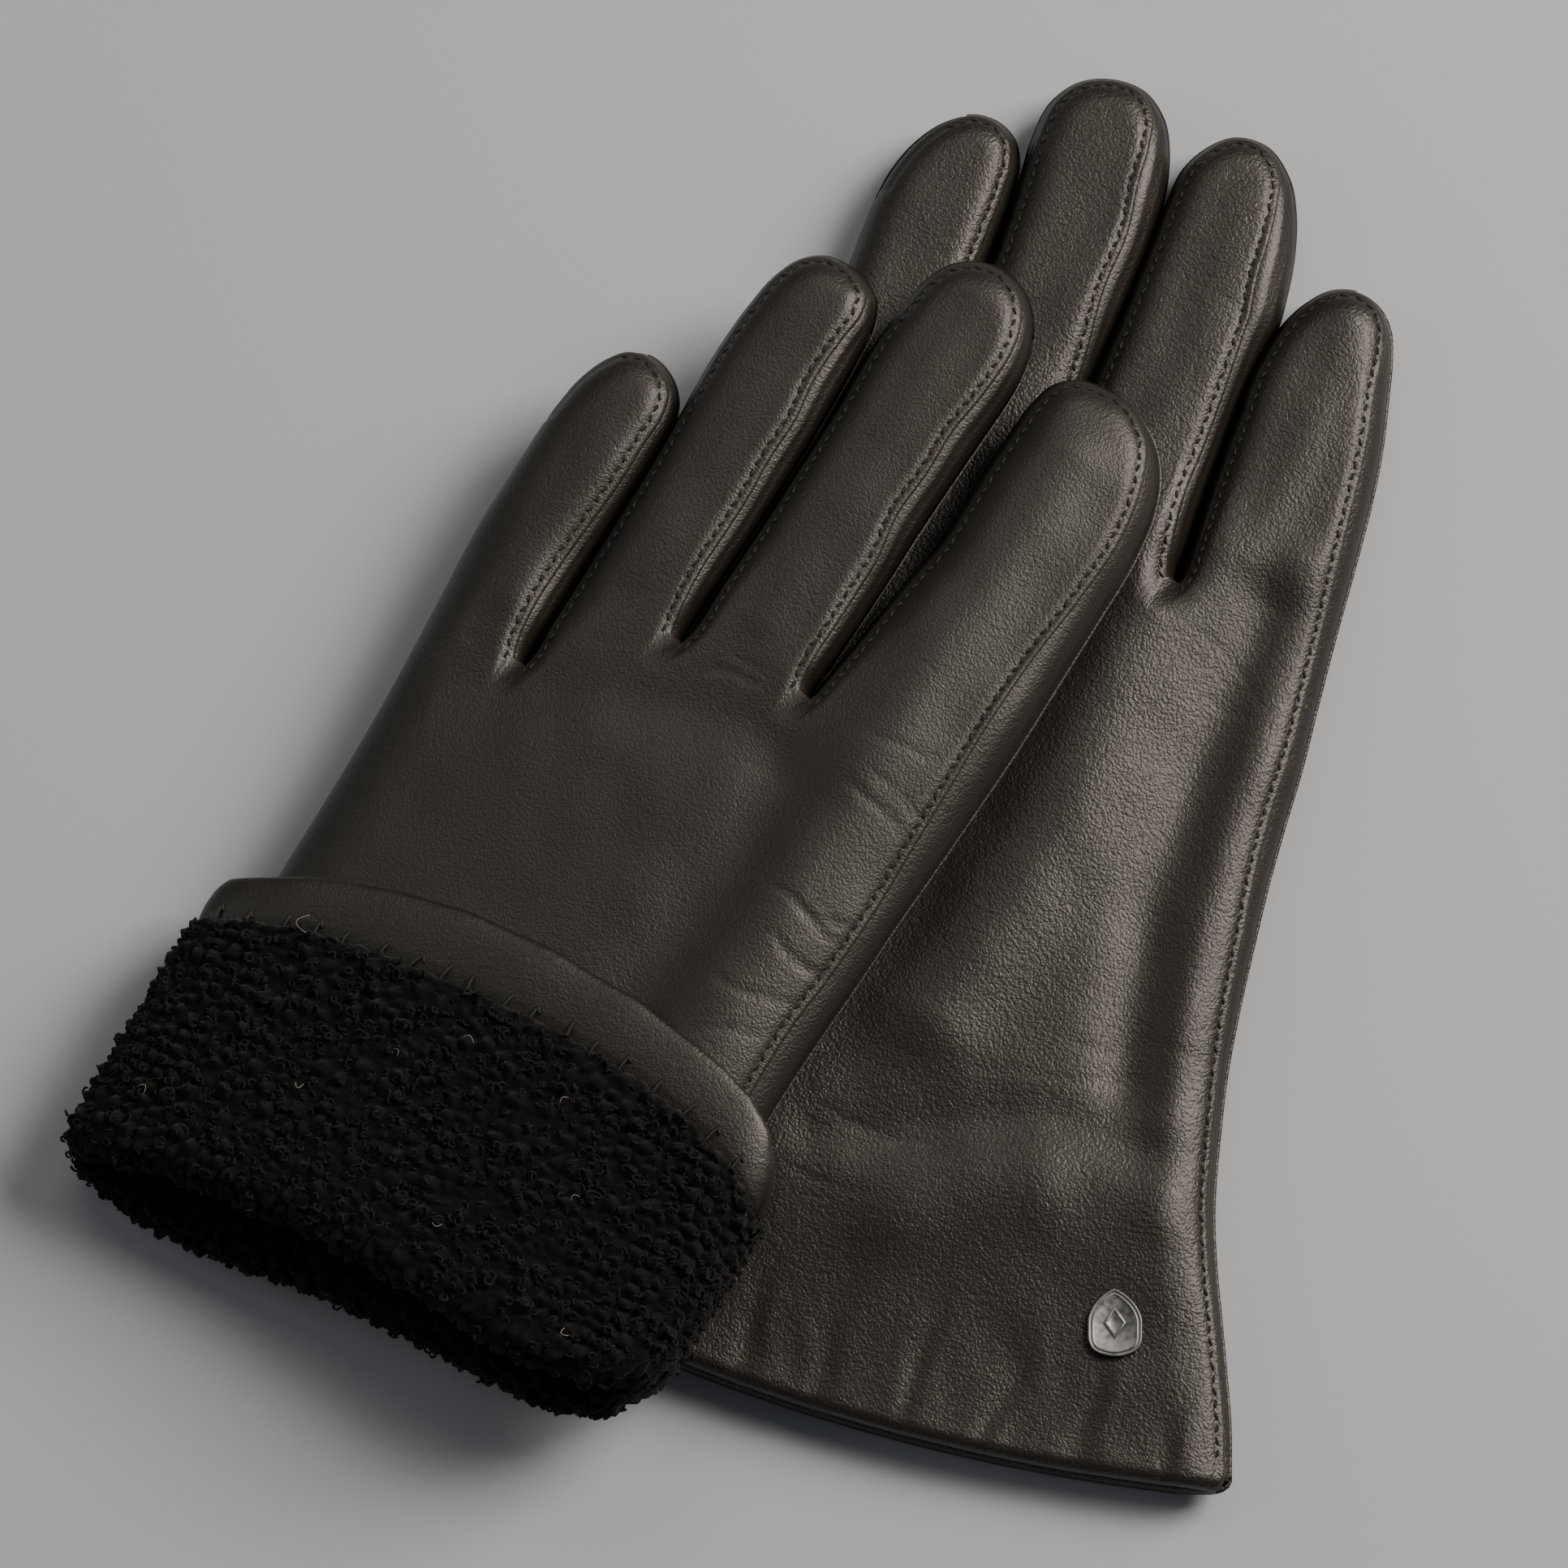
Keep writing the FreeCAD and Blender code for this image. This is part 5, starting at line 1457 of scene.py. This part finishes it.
def make_stage():
    """Plain floor, soft lights and the camera."""
    sizes = bpy.context.scene.stage_sizes
    bpy.ops.object.select_all(action="DESELECT")
    bpy.ops.mesh.primitive_plane_add(size=6)
    floor = bpy.context.object
    floor.name = "floor"
    material = bpy.data.materials.new("floor")
    material.use_nodes = True
    tree = material.node_tree
    skin = tree.nodes["Principled BSDF"]
    cloud = add(tree, "ShaderNodeTexNoise", in_2=3.0)
    soft = tuple(c * 1.02 for c in sizes.floor)
    shade = mix_colour(tree, cloud.outputs["Fac"], tuple(sizes.floor), soft)
    tree.links.new(shade, skin.inputs["Base Color"])
    skin.inputs["Roughness"].default_value = 0.9
    skin.inputs["Specular IOR Level"].default_value = 0.2
    floor.data.materials.append(material)
    soft_light("key_light", (1.15, 0.5, 1.15), (0.8, 1.1), 43, (1.0, 0.905, 0.79))
    soft_light("top_light", (-0.1, 1.0, 1.6), (1.2, 0.5), 5, (1.0, 0.93, 0.82))
    soft_light("left_light", (-1.4, 0.2, 0.8), (0.8, 1.2), 3.5, (1.0, 0.96, 0.92))
    world = bpy.data.worlds.new("studio")
    world.use_nodes = True
    world.node_tree.nodes["Background"].inputs[0].default_value = (0.9, 0.95, 1.0, 1)
    world.node_tree.nodes["Background"].inputs[1].default_value = 0.1
    bpy.context.scene.world = world
    target = Vector((CAMERA_TARGET[0] * MM, CAMERA_TARGET[1] * MM, 0.0))
    lens = bpy.data.cameras.new("camera")
    lens.sensor_width = 36
    lens.lens = lens.sensor_width * sizes.camera_distance / sizes.frame_width
    lens.clip_end = 20
    camera = bpy.data.objects.new("camera", lens)
    bpy.context.scene.collection.objects.link(camera)
    away = Vector((0, -math.cos(sizes.elevation), math.sin(sizes.elevation)))
    camera.location = target + away * sizes.camera_distance
    camera.rotation_euler = (-away).to_track_quat("-Z", "Y").to_euler()
    bpy.context.scene.camera = camera


# ---------------------------------------------------------------- operators
class GLOVES_OT_stage(Operator):
    """Build the floor, the lights and the camera"""
    bl_idname = "gloves.stage"
    bl_label = "Stage"

    def execute(self, context):
        make_stage()
        return {"FINISHED"}


class GLOVES_OT_right_back(Operator):
    """Build the right glove's back panel"""
    bl_idname = "gloves.right_back"
    bl_label = "Right back"

    def execute(self, context):
        make_back("right", ["right_back_leather"])
        return {"FINISHED"}


class GLOVES_OT_right_palm(Operator):
    """Build the right glove's palm and thumb"""
    bl_idname = "gloves.right_palm"
    bl_label = "Right palm and thumb"

    def execute(self, context):
        make_palm("right", ["right_palm_leather"])
        make_thumb("right", ["right_thumb_leather", "right_thumb_lining"])
        return {"FINISHED"}


class GLOVES_OT_right_sides(Operator):
    """Build the walls between the right glove's fingers"""
    bl_idname = "gloves.right_sides"
    bl_label = "Right fourchettes"

    def execute(self, context):
        make_fourchettes("right", ["right_fourchette_index_middle", "right_fourchette_middle_ring",
                                   "right_fourchette_ring_little"])
        return {"FINISHED"}


class GLOVES_OT_right_stitches(Operator):
    """Sew the right glove's seams"""
    bl_idname = "gloves.right_stitches"
    bl_label = "Right stitches"

    def execute(self, context):
        make_stitches("right", "right_finger_seams", ["right_finger_stitches"],
                      "right_side_seam", ["right_side_stitches"])
        return {"FINISHED"}


class GLOVES_OT_right_inside(Operator):
    """Build the hem facing and the lining of the right glove"""
    bl_idname = "gloves.right_inside"
    bl_label = "Right facing and lining"

    def execute(self, context):
        make_hem_facing()
        make_lining("right", 8.0, 100.0, ["right_back_lining", "right_palm_lining"])
        return {"FINISHED"}


class GLOVES_OT_badge(Operator):
    """Build the badge on the right glove"""
    bl_idname = "gloves.badge"
    bl_label = "Badge"

    def execute(self, context):
        make_badge()
        return {"FINISHED"}


class GLOVES_OT_left_back(Operator):
    """Build the left glove's back panel"""
    bl_idname = "gloves.left_back"
    bl_label = "Left back"

    def execute(self, context):
        make_back("left", ["left_hand_back_leather", "left_fingers_back_leather"])
        return {"FINISHED"}


class GLOVES_OT_left_palm(Operator):
    """Build the left glove's palm and thumb"""
    bl_idname = "gloves.left_palm"
    bl_label = "Left palm and thumb"

    def execute(self, context):
        make_palm("left", ["left_hand_palm_leather", "left_fingers_palm_leather"])
        make_thumb("left", ["left_thumb_leather", "left_thumb_lining"])
        return {"FINISHED"}


class GLOVES_OT_left_sides(Operator):
    """Build the walls between the left glove's fingers"""
    bl_idname = "gloves.left_sides"
    bl_label = "Left fourchettes"

    def execute(self, context):
        make_fourchettes("left", ["left_fourchette_little_ring", "left_fourchette_ring_middle",
                                  "left_fourchette_middle_index"])
        return {"FINISHED"}


class GLOVES_OT_left_stitches(Operator):
    """Sew the left glove's seams"""
    bl_idname = "gloves.left_stitches"
    bl_label = "Left stitches"

    def execute(self, context):
        make_stitches("left", "left_finger_seams", ["left_finger_stitches"], "left_side_seam",
                      ["left_hand_side_stitches", "left_finger_side_stitches"])
        return {"FINISHED"}


class GLOVES_OT_left_lining(Operator):
    """Build the lining of the left glove"""
    bl_idname = "gloves.left_lining"
    bl_label = "Left lining"

    def execute(self, context):
        make_lining("left", 34.0, 104.0, ["left_hand_back_lining", "left_hand_palm_lining",
                                          "left_fingers_back_lining", "left_fingers_palm_lining"])
        return {"FINISHED"}


class GLOVES_OT_cuff_leather(Operator):
    """Build the turned leather, the band and the whip stitches of the left cuff"""
    bl_idname = "gloves.cuff_leather"
    bl_label = "Cuff leather and band"

    def execute(self, context):
        make_cuff_leather()
        make_cuff_band()
        make_overcast()
        return {"FINISHED"}


class GLOVES_OT_cuff_pile(Operator):
    """Build the curly pile of the left cuff"""
    bl_idname = "gloves.cuff_pile"
    bl_label = "Cuff pile"

    def execute(self, context):
        make_pile()
        make_fibres()
        return {"FINISHED"}


OPERATORS = [GLOVES_OT_stage, GLOVES_OT_right_back, GLOVES_OT_right_palm, GLOVES_OT_right_sides,
             GLOVES_OT_right_stitches, GLOVES_OT_right_inside, GLOVES_OT_badge, GLOVES_OT_left_back,
             GLOVES_OT_left_palm, GLOVES_OT_left_sides, GLOVES_OT_left_stitches, GLOVES_OT_left_lining,
             GLOVES_OT_cuff_leather, GLOVES_OT_cuff_pile]


class GLOVES_PT_panel(Panel):
    """Settings and steps of the gloves"""
    bl_label = "Lined leather gloves"
    bl_idname = "GLOVES_PT_panel"
    bl_space_type = "VIEW_3D"
    bl_region_type = "UI"
    bl_category = "Gloves"

    def draw(self, context):
        for name, group in SETTINGS.items():
            box = self.layout.box()
            for key in group.__annotations__:
                box.prop(getattr(context.scene, name), key)
        for operator in OPERATORS:
            self.layout.operator(operator.bl_idname)


def register():
    """Register the settings, the operators and the panel."""
    for cls in [*SETTINGS.values(), *OPERATORS, GLOVES_PT_panel]:
        bpy.utils.register_class(cls)
    for name, group in SETTINGS.items():
        setattr(bpy.types.Scene, name, PointerProperty(type=group))


def unregister():
    """Remove what register added."""
    for name in SETTINGS:
        delattr(bpy.types.Scene, name)
    for cls in reversed([*SETTINGS.values(), *OPERATORS, GLOVES_PT_panel]):
        bpy.utils.unregister_class(cls)


def main():
    """Build everything."""
    register()
    for operator in OPERATORS:
        category, action = operator.bl_idname.split(".")
        getattr(getattr(bpy.ops, category), action)()


if __name__ == "__main__":
    main()
